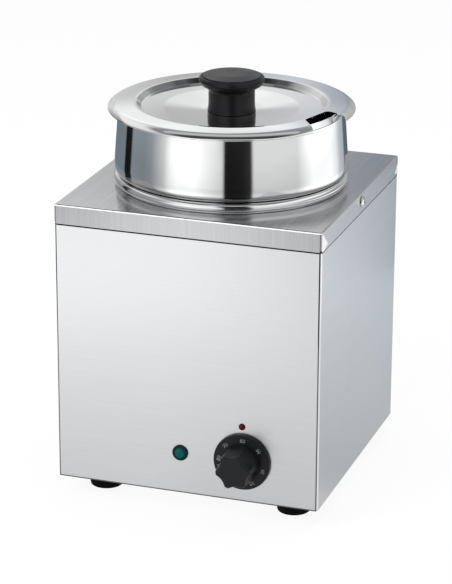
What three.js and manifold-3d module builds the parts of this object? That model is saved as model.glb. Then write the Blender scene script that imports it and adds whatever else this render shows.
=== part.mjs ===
// A square countertop bain marie that holds one round lift-out pot with a ladle lid.
// Millimetres, +Z up, front at -Y. The origin lies under the middle of the casing, on the table.

import * as THREE from "three";
import { mergeVertices, toCreasedNormals } from "three/addons/utils/BufferGeometryUtils.js";
import Module from "manifold-3d";

const wasm = await Module();
wasm.setup();

// Driving dimensions of the casing
const deckWidth = 250;
const deckDepth = 250;
const deckTop = 281;
const deckSkirt = 18;
const deckSheet = 0.8;
const deckBend = 1.5;
const deckCorner = 2;
const skirtGap = 0.5;
const wallInset = 0.1;
const caseSheet = 0.8;
const caseBend = 2.4;
const rearFlange = 15;
const trayLip = 12;
const footHeight = 18;
const footSideInset = 33.4;
const footFrontInset = 37;

// Driving dimensions of the water well and the pot. Each inset is drawn in from the pot's belly.
const deckMargin = 18;
const wellBottom = 112;
const wellSheet = 0.8;
const wellBend = 14;
const rollInward = 180;
const rollUpward = 90;
const rollEnd = -130;
const rollSteps = 7;
const beadRadius = 4.55;
const beadInset = 3.55;
const waterJacket = 4.9;
const potMouthInset = 6.6;
const potLeanInset = 2.8;
const potRimHeight = 73;
const potBellyRise = 21;
const potLeanDrop = 5;
const potFloorRise = 18;
const potSheet = 0.8;
const potTaper = 0.8;
const potBend = 15;
const potShoulderBend = 5;

// Driving dimensions of the lid and its knob. Each inset is drawn in from the lid's edge.
const lidOverhang = 6;
const lidSheet = 0.8;
const lidCrestInset = 18.3;
const lidCrown = 0.7;
const lidEdgeDrop = 0.9;
const lidRoll = 2.5;
const lidRollEnd = -150;
const lidRollSteps = 5;
const lidFloorInset = 29.4;
const lidStepDrop = 4.7;
const lidStepWidth = 2;
const lidDishInset = 51;
const lidDishDrop = 4.5;
const lidSeatRadius = 23;
const knobNeckRadius = 20.5;
const knobCapRadius = 30.1;
const knobHeight = 34.2;
const notchAngle = -17;
const notchDepth = 23.6;
const notchHalfWidth = 23;
const notchSlantStart = 13;
const notchSlantEnd = 31;
const notchCorner = 4;

// Driving dimensions of the dial and the lamps
const dialInset = 71;
const dialZ = 57.2;
const dialRadius = 26.6;
const dialSkirt = 3.5;
const dialReach = 28.5;
const gripBaseRadius = 18;
const gripFaceRadius = 16.2;
const fluteDepth = 3.5;
const fluteRadius = 22;
const greenLampPitch = 59.4;
const greenLampRadius = 7.5;
const redLampShift = 0.6;
const redLampRise = 33.3;
const redLampRadius = 3.1;
const sideScrewDrop = 8.5;

// Clearances that every joint and seat shares
const fitGap = 0.3;
const runningGap = 0.8;
const overrun = 5;
const weldGap = 0.0001;

// Counts of facets and of repeated pieces
const roundSides = 28;
const knobSides = 20;
const lampSides = 14;
const smallSides = 10;
const bendSteps = 2;
const lobeCount = 6;
const pointsPerLobe = 6;
const gripLevels = 5;
const ventCount = 6;
const trayVentCount = 5;

// Levels and outlines that follow from the driving dimensions
const caseHalfX = deckWidth / 2 - wallInset;
const caseHalfY = deckDepth / 2 - wallInset;
const neckHalfX = deckWidth / 2 - deckSheet - fitGap;
const neckHalfY = deckDepth / 2 - deckSheet - fitGap;
const caseTop = deckTop - deckSheet - fitGap;
const wallTop = deckTop - deckSkirt - skirtGap;
const panelInner = caseHalfY - caseSheet;
const wrapRear = panelInner - fitGap;
const trayFront = -(caseHalfY - caseSheet - fitGap);
const trayRear = wrapRear - caseSheet - fitGap;
const trayHalfX = caseHalfX - caseSheet - fitGap;
const dialX = deckWidth / 2 - dialInset;
const greenLampX = dialX - greenLampPitch;
const redLampX = dialX - redLampShift;
const redLampZ = dialZ + redLampRise;
const sideScrewZ = deckTop - sideScrewDrop;
const potBellyRadius = Math.min(deckWidth, deckDepth) / 2 - deckMargin;
const potMouthRadius = potBellyRadius - potMouthInset;
const potLeanRadius = potBellyRadius - potLeanInset;
const beadCentre = potBellyRadius - beadInset;
const wellRadius = beadCentre - beadRadius + wellSheet;
const potBodyRadius = wellRadius - wellSheet - waterJacket;
const lidRadius = potBellyRadius + lidOverhang;
const lidCrestRadius = lidRadius - lidCrestInset;
const lidFloorRadius = lidRadius - lidFloorInset;
const lidDishRadius = lidRadius - lidDishInset;
const notchInner = lidRadius - notchDepth;
const beadLevel = deckTop + fitGap + beadRadius;
const beadTop = beadLevel + beadRadius;
const deckHole = wellRadius + fitGap;
const potRim = deckTop + potRimHeight;
const potFloor = wellBottom + potFloorRise;
const potSeat = beadTop + fitGap;
const lidRest = potRim + fitGap + lidSheet;
const lidCrest = lidRest + lidCrown;
const lidEdge = lidRest - lidEdgeDrop;
const lidFloor = lidCrest - lidStepDrop;
const lidDish = lidFloor - lidDishDrop;
const knobBase = lidDish + fitGap;
const frontFace = -caseHalfY;
const dialBack = frontFace - runningGap;

function steel(colour, roughness) {
  return new THREE.MeshStandardMaterial({ color: colour, roughness, metalness: 1 });
}

function plastic(colour, roughness) {
  return new THREE.MeshStandardMaterial({ color: colour, roughness, metalness: 0 });
}

// Keeps the positions of a geometry alone, with shared corners joined and slivers dropped.
function weld(geometry) {
  const bare = geometry.clone();
  bare.deleteAttribute("normal");
  bare.deleteAttribute("uv");
  const merged = mergeVertices(bare, weldGap);
  const kept = [];
  const index = merged.index.array;
  for (let i = 0; i < index.length; i += 3) {
    const [a, b, c] = [index[i], index[i + 1], index[i + 2]];
    if (a !== b && b !== c && c !== a) kept.push(a, b, c);
  }
  merged.setIndex(kept);
  return merged;
}

function solidOf(geometry) {
  const merged = weld(geometry);
  return new wasm.Manifold(
    new wasm.Mesh({
      numProp: 3,
      vertProperties: new Float32Array(merged.attributes.position.array),
      triVerts: new Uint32Array(merged.index.array),
    }),
  );
}

function geometryOf(solid) {
  const mesh = solid.getMesh();
  const geometry = new THREE.BufferGeometry();
  geometry.setAttribute("position", new THREE.BufferAttribute(mesh.vertProperties, 3));
  geometry.setIndex(new THREE.BufferAttribute(mesh.triVerts, 1));
  return toCreasedNormals(geometry, Math.PI / 6);
}

function joined(...geometries) {
  return geometryOf(geometries.map(solidOf).reduce((whole, piece) => whole.add(piece)));
}

function cut(body, ...tools) {
  return geometryOf(tools.map(solidOf).reduce((left, tool) => left.subtract(tool), solidOf(body)));
}

function part(name, geometry, material) {
  const mesh = new THREE.Mesh(geometry, material);
  mesh.name = name;
  return mesh;
}

// One corner of an outline: radius from the axis, height, and the bend that rounds it.
function corner(r, z, bend = 0) {
  return { point: new THREE.Vector2(r, z), bend };
}

const roomShare = 0.98;

// Turns corners into an outline whose bends are arcs.
function bentPath(corners, steps = bendSteps) {
  const path = [];
  corners.forEach(({ point, bend }, i) => {
    const before = corners[i - 1];
    const after = corners[i + 1];
    if (!bend || !before || !after) {
      path.push(point.clone());
      return;
    }
    const inward = before.point.clone().sub(point);
    const outward = after.point.clone().sub(point);
    const room = Math.min(inward.length(), outward.length());
    inward.normalize();
    outward.normalize();
    const half = Math.acos(THREE.MathUtils.clamp(inward.dot(outward), -1, 1)) / 2;
    const tangent = Math.min(bend / Math.tan(half), room * roomShare);
    const radius = tangent * Math.tan(half);
    const middle = inward.clone().add(outward).normalize();
    const centre = middle.multiplyScalar(radius / Math.sin(half)).add(point);
    const start = inward.clone().multiplyScalar(tangent).add(point).sub(centre);
    const turn = Math.PI - 2 * half;
    const sense = Math.sign(outward.clone().cross(inward)) || 1;
    for (let step = 0; step <= steps; step++) {
      path.push(start.clone().rotateAround(new THREE.Vector2(), (sense * turn * step) / steps).add(centre));
    }
  });
  return path;
}

// Thickens a path into a sheet on its right-hand side, or on its left where thickness is negative.
function sheetOutline(path, thickness) {
  const side = path.map((point, i) => {
    const back = point.clone().sub(path[i - 1] ?? point).normalize();
    const on = (path[i + 1] ?? point).clone().sub(point).normalize();
    const along = back.clone().add(on).normalize();
    const stretch = i > 0 && i < path.length - 1 ? 1 / along.dot(on) : 1;
    return new THREE.Vector2(along.y, -along.x).multiplyScalar(thickness * stretch).add(point);
  });
  return [...path, ...side.reverse()];
}

// Turns an outline about the Z axis. Its two ends lie on the axis, or it is closed into a ring.
function revolved(outline, sides = roundSides) {
  const ordered = THREE.ShapeUtils.area(outline) < 0 ? [...outline].reverse() : [...outline];
  const closed = ordered.some((point) => point.x === 0) ? ordered : [...ordered, ordered[0].clone()];
  const onAxis = closed.findIndex((point, i) => point.x === 0 && closed[(i + 1) % closed.length].x === 0);
  const run = onAxis < 0 ? closed : [...closed.slice(onAxis + 1), ...closed.slice(0, onAxis + 1)];
  return new THREE.LatheGeometry(run, sides).rotateX(Math.PI / 2);
}

function rod(radius, from, to, sides = smallSides) {
  const length = to - from;
  return new THREE.CylinderGeometry(radius, radius, length, sides)
    .rotateX(Math.PI / 2)
    .translate(0, 0, from + length / 2);
}

function block(x0, x1, y0, y1, z0, z1) {
  return new THREE.BoxGeometry(x1 - x0, y1 - y0, z1 - z0)
    .translate((x0 + x1) / 2, (y0 + y1) / 2, (z0 + z1) / 2);
}

function rodAlongY(radius, x, z, from, to, sides = smallSides) {
  return rod(radius, -to, -from, sides).rotateX(Math.PI / 2).translate(x, 0, z);
}

function rodAlongX(radius, y, z, from, to, sides = smallSides) {
  return rod(radius, from, to, sides).rotateY(Math.PI / 2).translate(0, y, z);
}

function roundedRectangle(x0, x1, y0, y1, radius) {
  const shape = new THREE.Shape();
  shape.moveTo(x0 + radius, y0);
  shape.lineTo(x1 - radius, y0);
  shape.absarc(x1 - radius, y0 + radius, radius, -Math.PI / 2, 0);
  shape.lineTo(x1, y1 - radius);
  shape.absarc(x1 - radius, y1 - radius, radius, 0, Math.PI / 2);
  shape.lineTo(x0 + radius, y1);
  shape.absarc(x0 + radius, y1 - radius, radius, Math.PI / 2, Math.PI);
  shape.lineTo(x0, y0 + radius);
  shape.absarc(x0 + radius, y0 + radius, radius, Math.PI, Math.PI * 1.5);
  return shape;
}

function raised(shape, z0, z1, steps = bendSteps) {
  const depth = z1 - z0;
  return new THREE.ExtrudeGeometry(shape, { depth, bevelEnabled: false, curveSegments: steps })
    .translate(0, 0, z0);
}

function hexNut(acrossFlats, bore, height) {
  const outer = rod(acrossFlats / Math.sqrt(3), 0, height, 6);
  return cut(outer, rod(bore, -overrun, height + overrun));
}

// Joins rings that all have the same number of points into one closed body with flat ends.
function lofted(rings) {
  const count = rings[0].length;
  const points = rings.flat();
  const faces = [];
  for (let level = 0; level + 1 < rings.length; level++) {
    for (let i = 0; i < count; i++) {
      const a = level * count + i;
      const b = level * count + ((i + 1) % count);
      faces.push(a, b, b + count, a, b + count, a + count);
    }
  }
  for (const [level, flip] of [[0, true], [rings.length - 1, false]]) {
    const middle = new THREE.Vector3();
    rings[level].forEach((point) => middle.add(point));
    points.push(middle.divideScalar(count));
    for (let i = 0; i < count; i++) {
      const a = level * count + i;
      const b = level * count + ((i + 1) % count);
      faces.push(...(flip ? [b, a, points.length - 1] : [a, b, points.length - 1]));
    }
  }
  const geometry = new THREE.BufferGeometry().setFromPoints(points);
  geometry.setIndex(faces);
  return geometry;
}

// A rounded square drawn in from the deck's outside by an inset, at a height.
function deckRing(inset, z, radius) {
  const shape = roundedRectangle(
    -deckWidth / 2 + inset,
    deckWidth / 2 - inset,
    -deckDepth / 2 + inset,
    deckDepth / 2 - inset,
    radius,
  );
  return shape.getPoints(bendSteps).map((point) => new THREE.Vector3(point.x, point.y, z));
}

// A deck-shaped block whose top edges are bent over with a radius.
function deckBlock(inset, bottom, top, bend) {
  const cornerRadius = deckCorner - inset;
  const rings = [deckRing(inset, bottom, cornerRadius)];
  for (let step = 0; step <= bendSteps; step++) {
    const angle = (step / bendSteps) * (Math.PI / 2);
    const drawnIn = inset + bend * (1 - Math.cos(angle));
    rings.push(deckRing(drawnIn, top - bend * (1 - Math.sin(angle)), cornerRadius));
  }
  return lofted(rings);
}

// Casing

const sideScrew = { shank: 2.5, head: 5.2, headHeight: 2.4, length: 12, nutFlats: 8, nutHeight: 4 };
const panelScrew = { shank: 1.8, head: 3.6, headHeight: 2.2, length: 8, edgeInset: 8, endInset: 24 };
const footScrew = { shank: 2.5, head: 5.6, headHeight: 3.2, nutFlats: 8, nutHeight: 4 };
const footPad = { top: 18, toe: 15, edge: 1, recess: 7, recessDepth: 7 };
const mountScrew = { shank: 1.9, head: 3.2, headHeight: 1.5, length: 7, spacing: 28 };
const gland = {
  inset: 52.9,
  z: 46,
  thread: 9.5,
  bore: 7.8,
  flats: 24,
  flange: 5,
  reach: 28,
  cap: 12.2,
  mouth: 4.6,
  lip: 4,
  threadIn: 12,
  nutHeight: 4,
  nutFlats: 26,
  threadShare: 0.35,
  ledgeShare: 0.62,
};
const vent = { width: 4, height: 30, pitch: 13, rise: 86, drop: 59 };
const trayVent = { width: 5, length: 34, pitch: 13 };
const slotShare = 0.98;
const glandX = -caseHalfX + gland.inset;
const bushRadius = 4.6;
const shaftRadius = 3;

function panelScrewPlaces() {
  const x = caseHalfX - panelScrew.edgeInset;
  const low = footHeight + panelScrew.endInset;
  const high = deckTop - deckSkirt - panelScrew.endInset;
  return {
    lower_left: [-x, low],
    lower_right: [x, low],
    upper_left: [-x, high],
    upper_right: [x, high],
  };
}

function footPlaces() {
  const x = deckWidth / 2 - footSideInset;
  const y = deckDepth / 2 - footFrontInset;
  return { front_left: [-x, -y], front_right: [x, -y], rear_left: [-x, y], rear_right: [x, y] };
}

// One band of the folded wall. Its outside faces stand at one pair of half widths and its inside
// faces one sheet inside another pair, so a band with two different pairs makes a level step.
function wallBand([outerX, outerY], [innerX, innerY], from, to) {
  const outline = roundedRectangle(-outerX, outerX, -outerY, wrapRear, caseBend);
  outline.holes.push(
    roundedRectangle(
      -innerX + caseSheet,
      innerX - caseSheet,
      -innerY + caseSheet,
      wrapRear - caseSheet,
      caseBend - caseSheet,
    ),
  );
  return raised(outline, from, to);
}

// The front and both sides in one sheet. Under the deck's skirt the wall steps in to a neck, so that
// the skirt and the wall lie flush.
function caseWrap() {
  const wall = [caseHalfX, caseHalfY];
  const neck = [neckHalfX, neckHalfY];
  const shoulder = wallTop - caseSheet;
  const bands = joined(
    wallBand(wall, wall, footHeight, wallTop),
    wallBand(wall, neck, shoulder, wallTop),
    wallBand(neck, neck, shoulder, caseTop),
  );
  const rearOpening = caseHalfX - rearFlange;
  const hole = (radius, x, z, y) => rodAlongY(radius + fitGap, x, z, y - overrun, y + overrun);
  const tools = [
    block(-rearOpening, rearOpening, wrapRear - rearFlange, wrapRear + overrun, 0, deckTop + overrun),
    hole(bushRadius, dialX, dialZ, frontFace),
    hole(greenLampBody.radius, greenLampX, dialZ, frontFace),
    hole(redLampBody.radius, redLampX, redLampZ, frontFace),
    rodAlongX(sideScrew.shank + fitGap, 0, sideScrewZ, -deckWidth, deckWidth),
  ];
  for (const side of [-1, 1]) {
    tools.push(hole(mountScrew.shank, dialX + (side * mountScrew.spacing) / 2, dialZ, frontFace));
  }
  for (const [x, z] of Object.values(panelScrewPlaces())) {
    tools.push(hole(panelScrew.shank, x, z, wrapRear));
  }
  return cut(bands, ...tools);
}

// A slot with round ends that stands upright in the XZ plane and passes through along Y.
function ventSlot(x, z, from, to) {
  const half = vent.width / 2;
  const shape = roundedRectangle(x - half, x + half, z, z + vent.height, half * slotShare);
  return raised(shape, -to, -from, 1).rotateX(Math.PI / 2);
}

function rearPanel() {
  const halfWidth = caseHalfX - caseBend / 2;
  const sheet = block(-halfWidth, halfWidth, panelInner, caseHalfY, footHeight, wallTop);
  const from = panelInner - overrun;
  const to = caseHalfY + overrun;
  const tools = [rodAlongY(gland.thread + fitGap, glandX, gland.z, from, to)];
  for (const [x, z] of Object.values(panelScrewPlaces())) {
    tools.push(rodAlongY(panelScrew.shank + fitGap, x, z, from, to));
  }
  for (let i = 0; i < ventCount; i++) {
    const x = (i - (ventCount - 1) / 2) * vent.pitch;
    tools.push(ventSlot(x, footHeight + vent.rise, from, to));
    tools.push(ventSlot(x, deckTop - vent.drop, from, to));
  }
  return cut(sheet, ...tools);
}

function basePlate() {
  const lipTop = footHeight + trayLip;
  const innerBend = caseBend - caseSheet;
  const outside = roundedRectangle(-trayHalfX, trayHalfX, trayFront, trayRear, innerBend);
  const inside = roundedRectangle(
    -trayHalfX + caseSheet,
    trayHalfX - caseSheet,
    trayFront + caseSheet,
    trayRear - caseSheet,
    innerBend - caseSheet / 2,
  );
  const tools = [raised(inside, footHeight + caseSheet, lipTop + overrun)];
  for (const [x, y] of Object.values(footPlaces())) {
    const hole = rod(footScrew.shank + fitGap, footHeight - overrun, footHeight + overrun);
    tools.push(hole.translate(x, y, 0));
  }
  for (let i = 0; i < trayVentCount; i++) {
    const x = (i - (trayVentCount - 1) / 2) * trayVent.pitch;
    const slot = roundedRectangle(
      x - trayVent.width / 2,
      x + trayVent.width / 2,
      -trayVent.length / 2,
      trayVent.length / 2,
      (trayVent.width / 2) * slotShare,
    );
    tools.push(raised(slot, footHeight - overrun, footHeight + overrun, 1));
  }
  return cut(raised(outside, footHeight, lipTop), ...tools);
}

function deck() {
  const bottom = deckTop - deckSkirt;
  return cut(
    deckBlock(0, bottom, deckTop, deckBend),
    deckBlock(deckSheet, bottom - overrun, deckTop - deckSheet, deckBend - deckSheet),
    rod(deckHole, bottom, deckTop + overrun, roundSides),
    rodAlongX(sideScrew.shank + fitGap, 0, sideScrewZ, -deckWidth, deckWidth),
  );
}

// Continues an open path round a centre, from one angle in degrees to another.
function rollOn(path, centreR, centreZ, radius, from, to, steps) {
  for (let step = 1; step <= steps; step++) {
    const angle = THREE.MathUtils.degToRad(from + ((to - from) * step) / steps);
    const onRoll = new THREE.Vector2(Math.cos(angle), Math.sin(angle)).multiplyScalar(radius);
    path.push(onRoll.add(new THREE.Vector2(centreR, centreZ)));
  }
}

// The deep-drawn water tank, whose edge is rolled into a bead that lies on the deck.
function well() {
  const wet = wellRadius - wellSheet;
  const path = bentPath([
    corner(0, wellBottom + wellSheet),
    corner(wet, wellBottom + wellSheet, wellBend),
    corner(wet, beadLevel),
  ]);
  rollOn(path, beadCentre, beadLevel, beadRadius, rollInward, rollEnd, rollSteps);
  return revolved(sheetOutline(path, wellSheet));
}

function foot() {
  const bore = footScrew.shank + fitGap;
  return revolved(
    bentPath([
      corner(footPad.recess, 0),
      corner(footPad.toe, 0, footPad.edge),
      corner(footPad.top, footHeight),
      corner(bore, footHeight),
      corner(bore, footPad.recessDepth),
      corner(footPad.recess, footPad.recessDepth),
    ]),
    smallSides,
  );
}

const crownShare = 0.62;
const rimShare = 0.4;

// A pan-head screw that points up, its head's underside at zero and its crown below.
function panScrew(head, headHeight, shank, length) {
  return revolved(
    bentPath([
      corner(0, -headHeight),
      corner(head * crownShare, -headHeight),
      corner(head, -headHeight * rimShare),
      corner(head, 0),
      corner(shank, 0),
      corner(shank, length),
      corner(0, length),
    ], 1),
    smallSides,
  );
}

// Heating and control, inside the casing

const element = {
  ringShare: 0.622,
  tube: 4,
  gapAngle: 36,
  legDrop: 24,
  legBend: 9,
  bendShare: 0.3,
  arcSteps: 30,
  steps: 40,
};
const clamp = { sheet: 1.2, edge: 14, hole: 4.6, side: 6, bend: 1.5 };
const stud = { radius: 4, length: 22, nutFlats: 13, nutHeight: 6.5 };
const controller = {
  width: 42,
  height: 34,
  depth: 30,
  chamfer: 3,
  plate: 1.2,
  plateWidth: 38,
  plateHeight: 16,
  pocket: 14,
  bladeSheet: 0.8,
  bladeWidth: 6.3,
  bladeLength: 9,
  bladePitch: 11,
};
const bulb = {
  radius: 3,
  startShare: 0.68,
  endShare: 0.29,
  sideShare: 0.42,
  strap: 0.8,
  strapWidth: 10,
  ear: 7,
};
const capillary = {
  radius: 1,
  lead: 8,
  steps: 22,
  routeShares: [[0.35, 0.55], [0.6, 0.75], [0.8, 0.82]],
};
const greenLampBody = {
  radius: 5.6,
  length: 34,
  collar: 7,
  spigot: 3.6,
  spigotLength: 5,
  dome: 4.6,
  reach: 3.4,
  flange: 1.5,
};
const redLampBody = {
  radius: 2.5,
  length: 28,
  collar: 4.4,
  spigot: 1.6,
  spigotLength: 5,
  dome: 2.3,
  reach: 2.2,
  flange: 0.8,
};
const wool = { thickness: 13, rise: 22, drop: 23 };

const elementRing = wellRadius * element.ringShare;
const clampRadius = elementRing + clamp.side + clamp.edge;
const bulbStart = -elementRing * bulb.startShare;
const bulbEnd = elementRing * bulb.endShare;
const bulbSide = elementRing * bulb.sideShare;
const elementTop = wellBottom - fitGap;
const elementLevel = elementTop - element.tube;
const channelFloor = elementLevel - element.tube - fitGap;
const clampTop = wellBottom - fitGap;

function heatingElement() {
  const half = THREE.MathUtils.degToRad(element.gapAngle / 2);
  const { arcSteps, bendShare } = element;
  const points = [];
  const place = (angle, z) =>
    new THREE.Vector3(elementRing * Math.sin(angle), elementRing * Math.cos(angle), z);
  const step = element.legBend / elementRing;
  points.push(place(half, elementLevel - element.legDrop), place(half, elementLevel - element.legBend));
  points.push(place(half + step * bendShare, elementLevel - element.legBend * bendShare));
  for (let i = 0; i <= arcSteps; i++) {
    const angle = half + step + (2 * Math.PI - 2 * half - 2 * step) * (i / arcSteps);
    points.push(place(angle, elementLevel));
  }
  points.push(place(-half - step * bendShare, elementLevel - element.legBend * bendShare));
  points.push(place(-half, elementLevel - element.legBend), place(-half, elementLevel - element.legDrop));
  const section = new THREE.Shape();
  section.absarc(0, 0, element.tube, 0, Math.PI * 2);
  return geometryOf(
    solidOf(
      new THREE.ExtrudeGeometry(section, {
        extrudePath: new THREE.CatmullRomCurve3(points, false, "centripetal"),
        steps: element.steps,
        curveSegments: 3,
        bevelEnabled: false,
      }),
    ),
  );
}

// The pressed plate whose round channel holds the element against the well, notched for its legs.
function elementClamp() {
  const inner = elementRing - clamp.side;
  const outer = elementRing + clamp.side;
  const half = THREE.MathUtils.degToRad(element.gapAngle / 2);
  const plate = revolved(
    sheetOutline(
      bentPath([
        corner(clamp.hole, clampTop),
        corner(inner, clampTop, clamp.bend),
        corner(inner, channelFloor),
        corner(outer, channelFloor),
        corner(outer, clampTop, clamp.bend),
        corner(clampRadius, clampTop),
      ], 1),
      clamp.sheet,
    ),
    knobSides,
  );
  const bendEnd = half + element.legBend / elementRing;
  const halfWidth = elementRing * Math.sin(bendEnd) + runningGap;
  const near = elementRing * Math.cos(bendEnd) - clamp.side;
  const far = clampRadius + overrun;
  return cut(plate, block(-halfWidth, halfWidth, near, far, channelFloor - overrun, wellBottom));
}

function clampStud() {
  const end = clampTop - stud.length;
  return revolved(
    bentPath([
      corner(0, end),
      corner(stud.radius, end, stud.radius / 2),
      corner(stud.radius, clampTop),
      corner(0, clampTop),
    ], 1),
    smallSides,
  );
}

const can = {
  radius: 8,
  height: 5,
  base: 6.4,
  baseHeight: 8,
  flange: 10,
  lip: 0.8,
  blade: 6,
  bladeWidth: 5,
};

// A snap-action cut-out: a metal cap against the clamp plate and a moulded base with two blades.
function overheatCutout() {
  const top = clampTop - clamp.sheet - fitGap;
  const body = revolved(
    bentPath([
      corner(0, top),
      corner(can.radius, top, can.lip),
      corner(can.radius, top - can.height),
      corner(can.flange, top - can.height),
      corner(can.flange, top - can.height - can.lip),
      corner(can.base, top - can.height - can.lip),
      corner(can.base, top - can.height - can.baseHeight),
      corner(0, top - can.height - can.baseHeight),
    ], 2),
    smallSides,
  );
  const low = top - can.height - can.baseHeight - can.blade;
  const halfSheet = can.lip / 2;
  const halfWidth = can.bladeWidth / 2;
  const blades = [-1, 1].map((side) => {
    const x = (side * can.base) / 2;
    return block(x - halfSheet, x + halfSheet, -halfWidth, halfWidth, low, top - can.height);
  });
  return joined(body, ...blades);
}

function sensorBulb() {
  const level = clampTop - clamp.sheet - fitGap - bulb.radius;
  const length = bulbEnd - bulbStart;
  const outline = bentPath([
    corner(0, 0),
    corner(bulb.radius, 0, bulb.radius / 2),
    corner(bulb.radius, length, bulb.radius / 2),
    corner(0, length),
  ], 2);
  return revolved(outline, smallSides).rotateY(Math.PI / 2).translate(bulbStart, -bulbSide, level);
}

// A spring strap that holds the bulb up against the clamp plate by two flat feet.
function bulbClip() {
  const { strap, strapWidth, ear } = bulb;
  const top = clampTop - clamp.sheet - fitGap;
  const inner = bulb.radius + fitGap;
  const level = top - bulb.radius;
  const shape = new THREE.Shape();
  shape.moveTo(-inner - strap - ear, top);
  shape.lineTo(-inner - strap - ear, top - strap);
  shape.lineTo(-inner - strap, top - strap);
  shape.lineTo(-inner - strap, level);
  shape.absarc(0, level, inner + strap, Math.PI, Math.PI * 2, false);
  shape.lineTo(inner + strap, top - strap);
  shape.lineTo(inner + strap + ear, top - strap);
  shape.lineTo(inner + strap + ear, top);
  shape.lineTo(inner, top);
  shape.lineTo(inner, level);
  shape.absarc(0, level, inner, 0, Math.PI, true);
  shape.lineTo(-inner, top);
  const middle = (bulbStart + bulbEnd) / 2;
  return raised(shape, -strapWidth / 2, strapWidth / 2, 6)
    .rotateX(Math.PI / 2)
    .rotateZ(Math.PI / 2)
    .translate(middle, -bulbSide, 0);
}

const bushFront = frontFace - runningGap / 2;
const plateFront = frontFace + caseSheet + fitGap;
const bodyFront = plateFront + controller.plate;
const bodyRear = bodyFront + controller.depth;
const capillaryExit = { x: dialX - controller.width / 4, z: dialZ + controller.height / 4 };

function thermostatBody() {
  const halfWidth = controller.width / 2;
  const halfHeight = controller.height / 2;
  const { chamfer } = controller;
  const shape = roundedRectangle(-halfWidth, halfWidth, -halfHeight, halfHeight, chamfer);
  const housing = raised(shape, -bodyRear, -bodyFront + controller.plate / 2)
    .rotateX(Math.PI / 2)
    .translate(dialX, 0, dialZ);
  const plate = block(
    dialX - controller.plateWidth / 2,
    dialX + controller.plateWidth / 2,
    plateFront,
    bodyFront,
    dialZ - controller.plateHeight / 2,
    dialZ + controller.plateHeight / 2,
  );
  const blades = [-1, 0, 1].map((place) => {
    const x = dialX + place * controller.bladePitch;
    return block(
      x - controller.bladeWidth / 2,
      x + controller.bladeWidth / 2,
      bodyRear - controller.bladeSheet,
      bodyRear + controller.bladeLength,
      dialZ - halfHeight + chamfer,
      dialZ - halfHeight + chamfer + controller.bladeSheet,
    );
  });
  const bush = rodAlongY(bushRadius, dialX, dialZ, bushFront, bodyFront + overrun);
  const whole = joined(housing, plate, bush, ...blades);
  const holes = [-1, 1].map((side) =>
    rodAlongY(
      mountScrew.shank + fitGap,
      dialX + (side * mountScrew.spacing) / 2,
      dialZ,
      plateFront - overrun,
      frontFace + mountScrew.length + runningGap,
    ),
  );
  const boreEnd = bodyFront + controller.pocket;
  const bore = rodAlongY(shaftRadius + fitGap, dialX, dialZ, bushFront - overrun, boreEnd);
  return cut(whole, bore, ...holes);
}

// The thin pipe from the thermostat's rear to the end of the bulb, in one smooth bend.
function capillaryTube() {
  const level = clampTop - clamp.sheet - fitGap - bulb.radius;
  const start = new THREE.Vector3(capillaryExit.x, bodyRear + fitGap, capillaryExit.z);
  const end = new THREE.Vector3(bulbEnd + fitGap, -bulbSide, level);
  const between = capillary.routeShares.map(([across, up]) => {
    const point = start.clone().lerp(end, across);
    point.z = THREE.MathUtils.lerp(start.z, end.z, up);
    return point;
  });
  const points = [
    start,
    start.clone().add(new THREE.Vector3(0, capillary.lead, 0)),
    ...between,
    end.clone().add(new THREE.Vector3(capillary.lead, 0, 0)),
    end,
  ];
  const section = new THREE.Shape();
  section.absarc(0, 0, capillary.radius, 0, Math.PI * 2);
  return geometryOf(
    solidOf(
      new THREE.ExtrudeGeometry(section, {
        extrudePath: new THREE.CatmullRomCurve3(points, false, "centripetal"),
        steps: capillary.steps,
        curveSegments: 3,
        bevelEnabled: false,
      }),
    ),
  );
}

function insulation() {
  const inner = wellRadius + fitGap;
  const outer = inner + wool.thickness;
  const low = wellBottom + wool.rise;
  const high = deckTop - wool.drop;
  return revolved([
    new THREE.Vector2(inner, low),
    new THREE.Vector2(outer, low),
    new THREE.Vector2(outer, high),
    new THREE.Vector2(inner, high),
  ]);
}

const domeShare = 0.8;

// A flanged lens with a domed middle, standing on the panel and facing along +Z before it is turned.
function lampLens(radius, { dome: domeRadius, reach, flange, spigot, spigotLength }) {
  return revolved(
    bentPath([
      corner(0, -spigotLength),
      corner(spigot, -spigotLength),
      corner(spigot, fitGap),
      corner(radius, fitGap),
      corner(radius, flange, flange / 2),
      corner(domeRadius, flange),
      corner(domeRadius, reach * domeShare),
      corner(domeRadius / 2, reach),
      corner(0, reach),
    ], 1),
    lampSides,
  );
}

// The moulded barrel that passes through the panel and takes the lens's spigot in its mouth.
function lampBarrel(dims) {
  return revolved(
    bentPath([
      corner(0, -dims.length),
      corner(dims.radius, -dims.length, dims.spigot / 2),
      corner(dims.radius, 0),
      corner(dims.spigot + fitGap, 0),
      corner(dims.spigot + fitGap, -dims.spigotLength - fitGap),
      corner(0, -dims.spigotLength - fitGap),
    ], 2),
    smallSides,
  );
}

const clipSheet = 0.6;
const clipRiseShare = 0.35;

// The sprung washer that grips the barrel and bears on the back of the panel.
function springClip(dims) {
  const sheet = clipSheet;
  const back = caseSheet + fitGap;
  const bore = dims.radius + fitGap;
  return revolved(
    sheetOutline(
      [
        new THREE.Vector2(bore, -back - dims.collar * clipRiseShare),
        new THREE.Vector2(dims.collar, -back),
        new THREE.Vector2(dims.collar + sheet * 2, -back),
      ],
      sheet,
    ),
    smallSides,
  );
}

const terminals = {
  inset: 56.9,
  rear: 58.9,
  length: 44,
  width: 18,
  height: 16,
  poles: 3,
  funnel: 3,
  screw: 2.4,
  groove: 1.2,
};
const terminalSides = 8;
const funnelShare = 0.4;

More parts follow.
